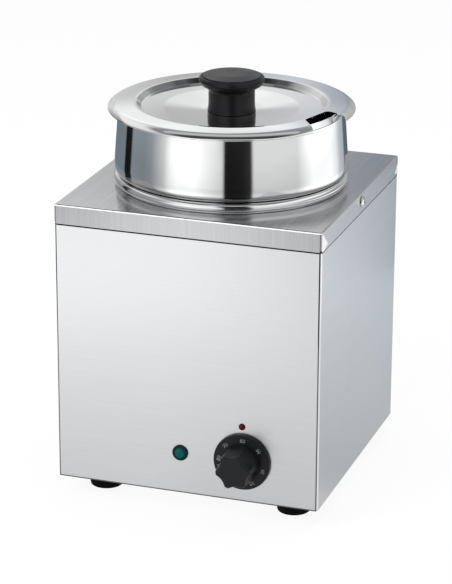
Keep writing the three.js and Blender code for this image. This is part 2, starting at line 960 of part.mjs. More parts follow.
// A moulded strip of three poles, with a wire funnel and a screw well in each.
function terminalBlock() {
  const { length, width, height, poles, funnel, screw, groove } = terminals;
  const body = block(-length / 2, length / 2, -width / 2, width / 2, 0, height);
  const pitch = length / poles;
  const above = height + overrun;
  const tools = [];
  for (let i = 0; i < poles; i++) {
    const x = (i - (poles - 1) / 2) * pitch;
    tools.push(rod(screw, height / 2, above, terminalSides).translate(x, 0, 0));
    tools.push(rodAlongY(funnel, x, height * funnelShare, -width, -screw / 2, terminalSides));
  }
  for (let i = 1; i < poles; i++) {
    const x = (i - poles / 2) * pitch;
    tools.push(block(x - groove / 2, x + groove / 2, -width, width, height - screw, above));
  }
  return cut(body, ...tools);
}

// Cable gland, facing along +Z before it is turned to the rear

const glandMouthLevel = gland.flange + gland.reach * gland.threadShare;

function glandBody() {
  const hex = rod(gland.flats / Math.sqrt(3), fitGap, fitGap + gland.flange, 6);
  const thread = rod(gland.thread, -gland.threadIn, glandMouthLevel);
  return cut(joined(hex, thread), rod(gland.bore, -gland.threadIn - overrun, gland.reach));
}

function glandCap() {
  const base = gland.flange + 2 * fitGap;
  const thread = glandMouthLevel + fitGap;
  const ledge = gland.reach * gland.ledgeShare;
  const throat = (gland.mouth + gland.bore) / 2;
  return revolved(
    bentPath([
      corner(gland.thread + fitGap, base),
      corner(gland.cap, base),
      corner(gland.cap, ledge, gland.lip),
      corner(gland.bore, gland.reach),
      corner(gland.mouth, gland.reach),
      corner(gland.mouth, gland.reach - gland.lip),
      corner(throat, thread + gland.lip),
      corner(gland.thread + fitGap, thread),
    ], 1),
    lampSides,
  );
}

function glandSeal() {
  return revolved([
    new THREE.Vector2(gland.mouth, gland.flange),
    new THREE.Vector2(gland.bore - fitGap, gland.flange),
    new THREE.Vector2(gland.bore - fitGap, glandMouthLevel),
    new THREE.Vector2(gland.mouth, glandMouthLevel),
  ], smallSides);
}

// Pot and lid

// The stepped inset pot: a belly that stands above the deck, a shoulder that rests on the bead,
// and a narrower body that hangs in the water.
function pot() {
  const bellyTop = deckTop + potBellyRise;
  return revolved(
    sheetOutline(
      bentPath([
        corner(0, potFloor),
        corner(potBodyRadius - potTaper, potFloor, potBend),
        corner(potBodyRadius, potSeat),
        corner(potBellyRadius, potSeat, potShoulderBend),
        corner(potBellyRadius, bellyTop),
        corner(potLeanRadius, potRim - potLeanDrop),
        corner(potMouthRadius, potRim),
      ]),
      -potSheet,
    ),
  );
}

// The ladle opening seen from above: square to the brim on one side and slanted on the other.
function notchPrism() {
  const outer = lidRadius + overrun;
  const slope = (notchSlantEnd - notchSlantStart) / (lidRadius - notchInner);
  const outline = bentPath([
    corner(outer, notchHalfWidth),
    corner(notchInner, notchHalfWidth, notchCorner),
    corner(notchInner, -notchSlantStart, notchCorner),
    corner(outer, -(notchSlantStart + slope * (outer - notchInner))),
  ]);
  const low = lidDish - lidDishDrop;
  return raised(new THREE.Shape(outline), low, lidCrest + overrun)
    .rotateZ(THREE.MathUtils.degToRad(notchAngle));
}

// The pressed lid: a dish, a step up to the brim, and a brim whose edge is rolled under.
function lid() {
  const screwHole = knobScrew.shank + fitGap;
  const rollCentre = lidRadius - lidRoll;
  const path = bentPath([
    corner(screwHole, lidDish),
    corner(lidSeatRadius, lidDish, lidSeatRadius),
    corner(lidDishRadius, lidFloor, lidSeatRadius),
    corner(lidFloorRadius, lidFloor, lidStepWidth),
    corner(lidFloorRadius + lidStepWidth, lidCrest - lidCrown / 2, lidStepWidth),
    corner(lidCrestRadius, lidCrest, lidSeatRadius),
    corner(rollCentre, lidEdge),
  ], 1);
  rollOn(path, rollCentre, lidEdge - lidRoll, lidRoll, rollUpward, lidRollEnd, lidRollSteps);
  return cut(revolved(sheetOutline(path, lidSheet)), notchPrism());
}

const knobScrew = {
  shank: 2.5,
  head: 5.5,
  headHeight: 2.4,
  reach: 14,
  washer: 8,
  washerSheet: 1,
  lineDepth: 0.6,
  blend: 3,
};

// Heights up the spool-shaped knob, as shares of its height.
const footShare = 0.12;
const neckEndShare = 0.58;
const flareShare = 0.69;
const capShare = 0.8;
const shelfShare = 0.94;
const lineRadiusShare = 0.89;
const shelfRadiusShare = 0.91;
const flareRadiusShare = 0.96;
const baseRadiusShare = 1.04;

function lidKnob() {
  const level = (share) => knobBase + knobHeight * share;
  const top = knobBase + knobHeight;
  const bore = knobScrew.shank + fitGap;
  const lineRadius = knobCapRadius * lineRadiusShare;
  const lineDepth = knobScrew.lineDepth;
  const shelf = level(shelfShare);
  return revolved(
    bentPath([
      corner(0, knobBase + knobScrew.reach + fitGap),
      corner(bore, knobBase + knobScrew.reach + fitGap),
      corner(bore, knobBase),
      corner(knobNeckRadius * baseRadiusShare, knobBase),
      corner(knobNeckRadius, level(footShare), knobNeckRadius),
      corner(knobNeckRadius, level(neckEndShare), knobScrew.blend),
      corner(knobCapRadius * flareRadiusShare, level(flareShare), knobScrew.blend),
      corner(knobCapRadius, level(capShare), knobScrew.blend),
      corner(knobCapRadius * shelfRadiusShare, shelf, lineDepth),
      corner(lineRadius, shelf),
      corner(lineRadius, shelf - lineDepth),
      corner(lineRadius - lineDepth, shelf - lineDepth),
      corner(lineRadius - lineDepth, shelf + lineDepth / 2),
      corner(lineRadius / 2, top - lineDepth / 3),
      corner(0, top),
    ]),
    knobSides,
  );
}

function knobWasher() {
  const top = lidDish - lidSheet - fitGap;
  return revolved([
    new THREE.Vector2(knobScrew.shank + fitGap, top - knobScrew.washerSheet),
    new THREE.Vector2(knobScrew.washer, top - knobScrew.washerSheet),
    new THREE.Vector2(knobScrew.washer, top),
    new THREE.Vector2(knobScrew.shank + fitGap, top),
  ], smallSides);
}

// Dial, facing along +Z before it is turned to the front

const dialHub = { radius: 7.5, hollow: 22.5, depth: 2.4, rimStep: 1, rimWidth: 2, bevel: 0.7 };
const flatShare = 0.6;

// Six hollows are scooped down the sides, deep at the face and running out at the round base.
function gripRing(level, bottom, top) {
  const share = level / (gripLevels - 1);
  const z = THREE.MathUtils.lerp(bottom, top, share);
  const radius = THREE.MathUtils.lerp(gripBaseRadius, gripFaceRadius, share);
  const depth = fluteDepth * Math.sin((share * Math.PI) / 2);
  const scoopCentre = radius + fluteRadius - depth;
  const ring = [];
  const count = lobeCount * pointsPerLobe;
  for (let i = 0; i < count; i++) {
    const angle = (i / count) * Math.PI * 2;
    const lobe = (2 * Math.PI) / lobeCount;
    const fromFlute = (angle % lobe) - lobe / 2;
    const reach = fluteRadius ** 2 - (scoopCentre * Math.sin(fromFlute)) ** 2;
    const scooped = reach > 0 ? scoopCentre * Math.cos(fromFlute) - Math.sqrt(reach) : radius;
    const r = Math.min(radius, scooped);
    ring.push(new THREE.Vector3(r * Math.cos(angle), r * Math.sin(angle), z));
  }
  return ring;
}

function dial() {
  const skirt = revolved(
    bentPath([
      corner(0, dialHub.depth),
      corner(dialHub.hollow, dialHub.depth),
      corner(dialHub.hollow, 0),
      corner(dialRadius, 0),
      corner(dialRadius, dialSkirt - dialHub.rimStep, dialHub.rimStep),
      corner(dialRadius - dialHub.rimWidth, dialSkirt - dialHub.rimStep),
      corner(dialRadius - dialHub.rimWidth, dialSkirt, dialHub.rimStep / 2),
      corner(0, dialSkirt),
    ], 2),
    roundSides,
  );
  const rings = [];
  for (let level = 0; level < gripLevels; level++) {
    rings.push(gripRing(level, dialSkirt - dialHub.rimStep, dialReach));
  }
  const { bevel } = dialHub;
  const crown = rings[gripLevels - 1].map((point) => {
    const shrunk = point.clone().multiplyScalar(1 - bevel / gripFaceRadius);
    shrunk.z = dialReach;
    return shrunk;
  });
  rings[gripLevels - 1].forEach((point) => {
    point.z = dialReach - bevel;
  });
  const hub = rod(dialHub.radius, 0, dialSkirt);
  const bore = rod(shaftRadius + fitGap, -overrun, shaftInDial + fitGap);
  return cut(joined(skirt, lofted([...rings, crown]), hub), bore);
}

const shaftInDial = 16;

// The spindle has a flat down its outer end, where the dial grips it.
function thermostatShaft() {
  const length = shaftInDial;
  const back = dialBack - (bodyFront + controller.pocket - fitGap);
  const flat = block(
    shaftRadius * flatShare,
    shaftRadius + overrun,
    -overrun,
    overrun,
    0,
    length + overrun,
  );
  return cut(rod(shaftRadius, back, length), flat);
}

// Assembly

const brushed = () => steel(0xc9cccf, 0.34);
const polished = () => steel(0xe2e4e6, 0.08);
const zinc = () => steel(0xb7b9ba, 0.3);
const brass = () => steel(0xc9a84a, 0.35);
const blackMoulding = () => plastic(0x17181a, 0.42);

function facingFront(x, z, y) {
  const group = new THREE.Group();
  group.position.set(x, y, z);
  group.rotation.x = Math.PI / 2;
  return group;
}

function facingRear(x, z, y) {
  const group = new THREE.Group();
  group.position.set(x, y, z);
  group.rotation.x = -Math.PI / 2;
  return group;
}

function buildCasing() {
  const group = new THREE.Group();
  group.add(part("case_wrap", caseWrap(), brushed()));
  group.add(part("rear_panel", rearPanel(), brushed()));
  group.add(part("base_plate", basePlate(), brushed()));
  group.add(part("deck", deck(), brushed()));
  group.add(part("well", well(), polished()));

  for (const [name, side] of [["left", -1], ["right", 1]]) {
    const screw = part(
      `deck_screw_${name}`,
      panScrew(sideScrew.head, sideScrew.headHeight, sideScrew.shank, sideScrew.length),
      polished(),
    );
    screw.rotation.y = (-side * Math.PI) / 2;
    screw.position.set(side * (deckWidth / 2 + fitGap), 0, sideScrewZ);
    const nut = part(
      `deck_nut_${name}`,
      hexNut(sideScrew.nutFlats, sideScrew.shank + fitGap, sideScrew.nutHeight),
      zinc(),
    );
    nut.rotation.y = (-side * Math.PI) / 2;
    nut.position.set(side * (neckHalfX - caseSheet - fitGap), 0, sideScrewZ);
    group.add(screw, nut);
  }

  for (const [name, [x, z]] of Object.entries(panelScrewPlaces())) {
    const screw = part(
      `panel_screw_${name}`,
      panScrew(panelScrew.head, panelScrew.headHeight, panelScrew.shank, panelScrew.length),
      zinc(),
    );
    screw.rotation.x = Math.PI / 2;
    screw.position.set(x, caseHalfY + fitGap, z);
    group.add(screw);
  }

  for (const [name, [x, y]] of Object.entries(footPlaces())) {
    const rubber = part(`foot_${name}`, foot(), plastic(0x141414, 0.8));
    const headLevel = footPad.recessDepth - fitGap;
    const nutLevel = footHeight + caseSheet + fitGap;
    const length = nutLevel + footScrew.nutHeight - headLevel + fitGap;
    const screw = part(
      `foot_screw_${name}`,
      panScrew(footScrew.head, footScrew.headHeight, footScrew.shank, length),
      zinc(),
    );
    screw.position.z = headLevel;
    const nut = part(
      `foot_nut_${name}`,
      hexNut(footScrew.nutFlats, footScrew.shank + fitGap, footScrew.nutHeight),
      zinc(),
    );
    nut.position.z = nutLevel;
    const place = new THREE.Group();
    place.position.set(x, y, 0);
    place.add(rubber, screw, nut);
    group.add(place);
  }
  return group;
}

function buildHeating() {
  const group = new THREE.Group();
  group.add(part("heating_element", heatingElement(), steel(0x6f6a66, 0.5)));
  group.add(part("element_clamp", elementClamp(), zinc()));
  group.add(part("clamp_stud", clampStud(), zinc()));
  const nut = part("clamp_nut", hexNut(stud.nutFlats, stud.radius + fitGap, stud.nutHeight), zinc());
  nut.position.z = clampTop - clamp.sheet - fitGap - stud.nutHeight;
  group.add(nut);
  const cutout = part("overheat_cutout", overheatCutout(), plastic(0x3a2a20, 0.5));
  cutout.position.y = bulbSide;
  group.add(cutout);
  group.add(part("sensor_bulb", sensorBulb(), steel(0xb87333, 0.3)));
  group.add(part("bulb_clip", bulbClip(), zinc()));
  group.add(part("capillary_tube", capillaryTube(), steel(0xb87333, 0.35)));
  group.add(part("well_insulation", insulation(), plastic(0xd8d2b8, 0.95)));
  return group;
}

function buildControls() {
  const group = new THREE.Group();
  group.add(part("thermostat_body", thermostatBody(), plastic(0xe8e4da, 0.5)));
  for (const [name, side] of [["left", -1], ["right", 1]]) {
    const screw = part(
      `thermostat_screw_${name}`,
      panScrew(mountScrew.head, mountScrew.headHeight, mountScrew.shank, mountScrew.length),
      zinc(),
    );
    screw.rotation.x = -Math.PI / 2;
    screw.position.set(dialX + (side * mountScrew.spacing) / 2, frontFace - fitGap, dialZ);
    group.add(screw);
  }
  const lamps = [
    ["green", greenLampX, dialZ, greenLampRadius, greenLampBody, 0x0f7a63],
    ["red", redLampX, redLampZ, redLampRadius, redLampBody, 0x7a1220],
  ];
  for (const [colour, x, z, radius, dims, hue] of lamps) {
    const place = facingFront(x, z, frontFace);
    place.add(part(`${colour}_lamp_lens`, lampLens(radius, dims), plastic(hue, 0.2)));
    place.add(part(`${colour}_lamp_holder`, lampBarrel(dims), plastic(0xe6e6e2, 0.5)));
    place.add(part(`${colour}_lamp_clip`, springClip(dims), zinc()));
    group.add(place);
  }
  return group;
}

const earth = { radius: 2.5, height: 15, inset: 104.9, rear: 32.9, nutFlats: 8, nutHeight: 4 };

function buildSupply() {
  const group = new THREE.Group();
  const floor = footHeight + caseSheet + fitGap;
  const terminal = part("terminal_block", terminalBlock(), plastic(0xdedbd2, 0.6));
  terminal.position.set(-caseHalfX + terminals.inset, caseHalfY - terminals.rear, floor);
  group.add(terminal);
  const post = part("earth_stud", rod(earth.radius, 0, earth.height), brass());
  const earthX = -caseHalfX + earth.inset;
  const earthY = caseHalfY - earth.rear;
  post.position.set(earthX, earthY, floor);
  const nut = part("earth_nut", hexNut(earth.nutFlats, earth.radius + fitGap, earth.nutHeight), brass());
  nut.position.set(earthX, earthY, floor + fitGap);
  group.add(post, nut);
  const place = facingRear(glandX, gland.z, caseHalfY);
  place.add(part("gland_body", glandBody(), blackMoulding()));
  place.add(part("gland_cap", glandCap(), blackMoulding()));
  place.add(part("gland_seal", glandSeal(), plastic(0x222222, 0.8)));
  const lockShape = hexNut(gland.nutFlats, gland.thread + fitGap, gland.nutHeight);
  const lock = part("gland_locknut", lockShape, blackMoulding());
  lock.position.z = -caseSheet - fitGap - gland.nutHeight;
  place.add(lock);
  group.add(place);
  return group;
}

function buildPot() {
  const group = new THREE.Group();
  group.add(part("pot", pot(), polished()));
  return group;
}

function buildLid() {
  const group = new THREE.Group();
  group.add(part("lid", lid(), polished()));
  group.add(part("lid_knob", lidKnob(), blackMoulding()));
  group.add(part("knob_washer", knobWasher(), zinc()));
  const headTop = lidDish - lidSheet - 2 * fitGap - knobScrew.washerSheet;
  const screw = part(
    "knob_screw",
    panScrew(knobScrew.head, knobScrew.headHeight, knobScrew.shank, knobBase + knobScrew.reach - headTop),
    zinc(),
  );
  screw.position.z = headTop;
  group.add(screw);
  return group;
}

function buildDial() {
  const group = facingFront(dialX, dialZ, dialBack);
  group.add(part("dial", dial(), blackMoulding()));
  group.add(part("thermostat_shaft", thermostatShaft(), zinc()));
  return group;
}

const bainMarie = new THREE.Group();
bainMarie.add(buildCasing(), buildHeating(), buildControls(), buildSupply());
bainMarie.add(buildPot(), buildLid(), buildDial());

export default bainMarie;
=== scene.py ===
"""A bain marie pot on a plain pale floor.

Lengths of the object are in millimetres. Node trees and the studio are in metres.
"""

import math

import bmesh
import bpy
from mathutils import Matrix, Vector


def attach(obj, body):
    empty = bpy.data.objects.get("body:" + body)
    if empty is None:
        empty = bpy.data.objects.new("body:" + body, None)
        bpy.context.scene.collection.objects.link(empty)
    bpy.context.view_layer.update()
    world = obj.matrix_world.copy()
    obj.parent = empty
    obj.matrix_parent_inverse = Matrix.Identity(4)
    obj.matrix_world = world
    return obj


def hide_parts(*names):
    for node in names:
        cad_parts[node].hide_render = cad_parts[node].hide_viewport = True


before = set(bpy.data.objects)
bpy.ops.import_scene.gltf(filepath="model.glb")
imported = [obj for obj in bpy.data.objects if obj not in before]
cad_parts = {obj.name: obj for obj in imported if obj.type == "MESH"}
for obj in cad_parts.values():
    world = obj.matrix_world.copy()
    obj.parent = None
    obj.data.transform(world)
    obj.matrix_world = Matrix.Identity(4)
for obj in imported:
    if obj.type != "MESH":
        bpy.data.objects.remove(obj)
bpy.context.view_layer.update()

MM = 0.001

# Sizes repeated from the part's source
DECK = 250.0
DECK_TOP = 281.0
DECK_SKIRT = 18.0
DECK_BEND = 1.5
SHEET = 0.8
FIT = 0.3
CASE_HALF = DECK / 2 - 0.1
NECK_HALF = DECK / 2 - SHEET - FIT
CASE_BEND = 2.4
CASE_TOP = DECK_TOP - SHEET - FIT
WALL_TOP = DECK_TOP - DECK_SKIRT - 0.5
PANEL_INNER = CASE_HALF - SHEET
WRAP_REAR = PANEL_INNER - FIT
REAR_FLANGE = 15.0
SIDE_SCREW_Z = 272.5
SIDE_SCREW_HOLE = 2.8
PANEL_SCREW_HOLE = 2.1
FOOT_HEIGHT = 18.0
FOOT_X, FOOT_Y = 91.6, 88.0
DIAL_X, DIAL_Z = 54.0, 57.2
DIAL_BACK = -CASE_HALF - 0.8
GREEN_LAMP = (-5.4, 57.2)
RED_LAMP = (53.4, 90.5)
WELL_WET = 98.9
WELL_FLOOR = 112.8
BEAD_RADIUS = 4.55
BEAD_CENTRE = 103.45
BEAD_LEVEL = 285.85
POT_FLOOR = 130.0
POT_SEAT = 290.7
POT_BELLY = 107.0
POT_RIM = 354.0
LID_RADIUS = 113.0
LID_DISH = 346.6
LID_FLOOR = 351.1
LID_CREST = 355.8
KNOB_BASE = 346.9
KNOB_HEIGHT = 34.2
NOTCH_ANGLE = -17.0
VENT_PITCH, VENT_LENGTH, VENT_HALF = 13.0, 30.0, 2.0
VENT_BASES = (104.0, 222.0)
VENT_COUNT = 6
GLAND_X, GLAND_Z = -72.0, 46.0
GLAND_LENGTH, GLAND_FLANGE = 28.0, 5.0
GLAND_BORE = 9.8


# Outlines and meshes


def bent(corners, steps):
    """Turns (radius, height, bend) corners into points whose bends are arcs."""
    points = [Vector(c[:2]) for c in corners]
    path = []
    for i, spec in enumerate(corners):
        bend = spec[2] if len(spec) > 2 else 0
        if not bend or i in (0, len(corners) - 1):
            path.append(points[i].copy())
            continue
        inward = points[i - 1] - points[i]
        outward = points[i + 1] - points[i]
        room = min(inward.length, outward.length)
        inward.normalize()
        outward.normalize()
        half = inward.angle(outward) / 2
        tangent = min(bend / math.tan(half), room * 0.98)
        radius = tangent * math.tan(half)
        centre = points[i] + (inward + outward).normalized() * (radius / math.sin(half))
        start = points[i] + inward * tangent - centre
        turn = math.pi - 2 * half
        cross = inward.x * outward.y - inward.y * outward.x
        sense = -1 if cross > 0 else 1
        for step in range(steps + 1):
            angle = sense * turn * step / steps
            c, s = math.cos(angle), math.sin(angle)
            path.append(centre + Vector((start.x * c - start.y * s, start.x * s + start.y * c)))
    return path


def sheet(path, thickness):
    """Thickens an open path on its right-hand side, or on its left for a negative thickness."""
    side = []
    for i, point in enumerate(path):
        back = (point - path[i - 1]).normalized() if i else (path[1] - point).normalized()
        on = (path[i + 1] - point).normalized() if i + 1 < len(path) else back
        along = (back + on).normalized()
        stretch = 1 / along.dot(on)
        side.append(point + Vector((along.y, -along.x)) * thickness * stretch)
    return path + side[::-1]


def arc(cx, cy, radius, start, sweep, steps, first=0):
    """Points round a centre, from one angle in degrees through a sweep."""
    angles = [math.radians(start + sweep * step / steps) for step in range(first, steps + 1)]
    return [Vector((cx + radius * math.cos(a), cy + radius * math.sin(a))) for a in angles]


def rounded_rectangle(x0, x1, y0, y1, radius, steps):
    left, right, low, high = x0 + radius, x1 - radius, y0 + radius, y1 - radius
    centres = ((right, high, 0), (left, high, 90), (left, low, 180), (right, low, 270))
    return [point for cx, cy, start in centres for point in arc(cx, cy, radius, start, 90, steps)]


def stadium(x, z0, z1, half):
    """The outline of an upright slot with round ends."""
    return arc(x, z1 - half, half, 0, 180, 8) + arc(x, z0 + half, half, 180, 180, 8)


def add_object(name, data):
    obj = bpy.data.objects.new(name, data)
    bpy.context.scene.collection.objects.link(obj)
    return obj


def object_of(name, bm):
    mesh = bpy.data.meshes.new(name)
    bm.normal_update()
    bm.to_mesh(mesh)
    bm.free()
    return add_object(name, mesh)


def solid(name, bm, place=None):
    """Turns every face outward and makes an object, moved to its place."""
    bmesh.ops.recalc_face_normals(bm, faces=bm.faces)
    if place is not None:
        bm.transform(place)
    return object_of(name, bm)


def ring(bm, radius, height, count):
    """Points spaced evenly round the Z axis, in metres."""
    turns = [2 * math.pi * i / count for i in range(count)]
    return [bm.verts.new((radius * math.cos(a), radius * math.sin(a), height)) for a in turns]


def skin(bm, rings):
    """Joins each ring to the next one, which has as many points."""
    for a, b in zip(rings, rings[1:]):
        for i in range(len(a)):
            j = (i + 1) % len(a)
            bm.faces.new((a[i], a[j], b[j], b[i]))


def lathe(name, outline, sides, place=None):
    """A closed outline of (radius, height) turned about the Z axis."""
    bm = bmesh.new()
    rings = []
    for point in outline:
        r, z = point[0] * MM, point[1] * MM
        rings.append([bm.verts.new((0, 0, z))] if r < 1e-7 else ring(bm, r, z, sides))
    for a, b in zip(rings, rings[1:] + rings[:1]):
        if len(a) == 1 and len(b) == 1:
            continue
        for i in range(sides):
            j = (i + 1) % sides
            quad = [a[i % len(a)], a[j % len(a)], b[j % len(b)], b[i % len(b)]]
            bm.faces.new(list(dict.fromkeys(quad)))
    return solid(name, bm, place)


def prism(name, outline, z0, z1, place=None):
    """A flat outline raised into a block."""
    bm = bmesh.new()
    low, high = ([bm.verts.new((x * MM, y * MM, z * MM)) for x, y in outline] for z in (z0, z1))
    bm.faces.new(low)
    bm.faces.new(high)
    skin(bm, [low, high])
    return solid(name, bm, place)


def facing(axis, x=0.0, y=0.0, z=0.0):
    """Turns local +Z to look along the named axis and moves it to a place."""
    turn = {
        "front": Matrix.Rotation(math.pi / 2, 4, "X"),
        "rear": Matrix.Rotation(-math.pi / 2, 4, "X"),
        "right": Matrix.Rotation(math.pi / 2, 4, "Y"),
        "left": Matrix.Rotation(-math.pi / 2, 4, "Y"),
        "up": Matrix.Identity(4),
    }[axis]
    return Matrix.Translation(Vector((x, y, z)) * MM) @ turn


def rod(radius, z0, z1, place, sides=40):
    return lathe("cutter", [(0, z0), (radius, z0), (radius, z1), (0, z1)], sides, place)


def bake(obj):
    graph = bpy.context.evaluated_depsgraph_get()
    made = bpy.data.meshes.new_from_object(obj.evaluated_get(graph), depsgraph=graph)
    old = obj.data
    obj.modifiers.clear()
    obj.data = made
    made.name = obj.name
    bpy.data.meshes.remove(old)


def carve(obj, *cutters):
    for cutter in cutters:
        cut = obj.modifiers.new("cut", "BOOLEAN")
        cut.operation = "DIFFERENCE"
        cut.solver = "EXACT"
        cut.object = cutter
    bake(obj)
    for cutter in cutters:
        mesh = cutter.data
        bpy.data.objects.remove(cutter)
        bpy.data.meshes.remove(mesh)


def soften(obj, width, segments, angle=30.0):
    """Rounds the edges that turn by more than an angle in degrees."""
    edge = obj.modifiers.new("edge", "BEVEL")
    edge.width = width * MM
    edge.segments = segments
    edge.limit_method = "ANGLE"
    edge.angle_limit = math.radians(angle)
    bake(obj)


def smooth(obj, sharp):
    """Smooth shading that keeps flat faces flat and sharp edges sharp."""
    obj.data.shade_smooth()
    obj.data.set_sharp_from_angle(angle=math.radians(sharp))
    even = obj.modifiers.new("even", "WEIGHTED_NORMAL")
    even.keep_sharp = True
    even.weight = 90
    bake(obj)


def dress(obj, material, body, slot, *nodes, sharp=35.0):
    """Shades a piece, gives it its material and lets it ride for the nodes that it replaces."""
    smooth(obj, sharp)
    obj.data.materials.clear()
    obj.data.materials.append(material)
    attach(obj, body)
    if nodes:
        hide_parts(*nodes)


# Materials


class Nodes:
    """A short way to write a material's node tree."""

    def __init__(self, name):
        self.material = bpy.data.materials.new(name)
        self.material.use_nodes = True
        self.tree = self.material.node_tree
        self.tree.nodes.clear()
        self.out = self.tree.nodes.new("ShaderNodeOutputMaterial")
        self.where = None

    def add(self, kind, **inputs):
        node = self.tree.nodes.new("ShaderNode" + kind)
        for key, value in inputs.items():
            self.put(node, key, value)
        return node

    def put(self, node, key, value):
        socket = node.inputs[key.replace("_", " ")] if isinstance(key, str) else node.inputs[key]
        if isinstance(value, bpy.types.NodeSocket):
            self.tree.links.new(value, socket)
        else:
            socket.default_value = value

    def maths(self, operation, a, b=0.0):
        node = self.tree.nodes.new("ShaderNodeMath")
        node.operation = operation
        self.put(node, 0, a)
        self.put(node, 1, b)
        return node.outputs[0]

    def times(self, a, b):
        return self.maths("MULTIPLY", a, b)

    def place(self, scale=(1, 1, 1)):
        where = self.tree.nodes.new("ShaderNodeTexCoord").outputs["Object"]
        return self.add("Mapping", Vector=where, Scale=scale).outputs["Vector"]

    def axis(self, letter):
        """The object's own X, Y or Z, in metres."""
        if self.where is None:
            self.where = self.add("SeparateXYZ", Vector=self.place())
        return self.where.outputs[letter]

    def reach(self):
        """The distance from the Z axis, in metres."""
        flat = self.add("CombineXYZ", X=self.axis("X"), Y=self.axis("Y"))
        length = self.tree.nodes.new("ShaderNodeVectorMath")
        length.operation = "LENGTH"
        self.put(length, 0, flat.outputs[0])
        return length.outputs["Value"]

    def noise(self, vector, detail, scale=1.0, roughness=0.5):
        node = self.add("TexNoise", Vector=vector, Scale=scale, Detail=detail, Roughness=roughness)
        return node.outputs["Fac"]

    def spread(self, value, low, high, start=0.3, end=0.7):
        node = self.tree.nodes.new("ShaderNodeMapRange")
        for key, number in (("From Min", start), ("From Max", end), ("To Min", low), ("To Max", high)):
            node.inputs[key].default_value = number
        self.put(node, "Value", value)
        return node.outputs["Result"]

    def rise(self, value, start, end):
        """Zero up to the start and one from the end on."""
        return self.spread(value, 0.0, 1.0, start, end)

    def tint(self, value, dark, light, start=0.3, end=0.7):
        return self.ramp(value, [(start, dark), (end, light)])

    def ramp(self, value, stops):
        """A colour ramp whose stops are (position, grey or colour) pairs in rising order."""
        node = self.tree.nodes.new("ShaderNodeValToRGB")
        elements = node.color_ramp.elements
        for index, (position, colour) in enumerate(stops):
            if index == 0:
                spot = elements[0]
            elif index == len(stops) - 1:
                spot = elements[-1]
            else:
                spot = elements.new(position)
            spot.position = position
            spot.color = (*colour, 1) if isinstance(colour, tuple) else (colour, colour, colour, 1)
        self.put(node, "Fac", value)
        return node.outputs["Color"]

    def blend(self, factor, a, b):
        mix = self.tree.nodes.new("ShaderNodeMix")
        mix.data_type = "RGBA"
        self.put(mix, 0, factor)
        for index, value in ((6, a), (7, b)):
            self.put(mix, index, (*value, 1) if isinstance(value, tuple) else value)
        return mix.outputs[2]

    def shaded(self, colour, share):
        """A colour multiplied by a grey share."""
        scale = self.tree.nodes.new("ShaderNodeVectorMath")
        scale.operation = "SCALE"
        self.put(scale, 0, colour)
        self.put(scale, "Scale", share)
        return scale.outputs["Vector"]

    def bump(self, height, strength, metres, normal=None):
        node = self.add("Bump", Height=height, Strength=strength, Distance=metres)
        if normal is not None:
            self.put(node, "Normal", normal)
        return node.outputs["Normal"]

    def finish(self, **inputs):
        shader = self.add("BsdfPrincipled")
        for key, value in inputs.items():
            value = (*value, 1) if isinstance(value, tuple) and len(value) == 3 else value
            self.put(shader, key, value)
        self.tree.links.new(shader.outputs["BSDF"], self.out.inputs["Surface"])
        return self.material


def scaled(colour, share):
    return tuple(channel * share for channel in colour)


STEEL = (0.80, 0.81, 0.82)
DECK_STEEL = (0.698, 0.703, 0.715)
# Painted shade: the share by which the deck's front skirt is darkened.
SKIRT_PAINTED_SHADE = 0.817
BRIGHT = (0.93, 0.935, 0.94)


def brushed_steel(name, across, colour=STEEL, rough=0.3, streak=0.95, relief=0.1, finish=None):
    """Sheet steel with a fine grain. across holds the lines per metre seen along X, Y and Z."""
    n = Nodes(name)
    fine = n.noise(n.place(across), detail=4.0, roughness=0.65)
    lines = n.noise(n.place(scaled(across, 0.43)), detail=3.0, roughness=0.6)
    cloud = n.noise(n.place((9, 9, 9)), detail=3.0)
    grain = n.maths("ADD", n.times(fine, 0.6), n.times(lines, 0.4))
    lined = n.tint(grain, scaled(colour, streak), colour, 0.36, 0.64)
    shade = n.blend(n.spread(cloud, 0.0, 0.16), lined, scaled(colour, 0.9))
    sheen = n.spread(grain, rough - 0.04, rough + 0.05)
    normal = n.bump(grain, relief, 0.00003)
    look = {"Base_Color": shade, "Metallic": 1.0, "Roughness": sheen, "Normal": normal}
    if finish is not None:
        finish(n, look)
    return n.finish(**look)


def within(n, value, low, high, soft=0.1):
    """One where a length lies between two heights or places in millimetres, zero outside."""
    begins = n.rise(value, (low - soft) * MM, (low + soft) * MM)
    ends = n.spread(value, 1.0, 0.0, (high - soft) * MM, (high + soft) * MM)
    return n.times(begins, ends)


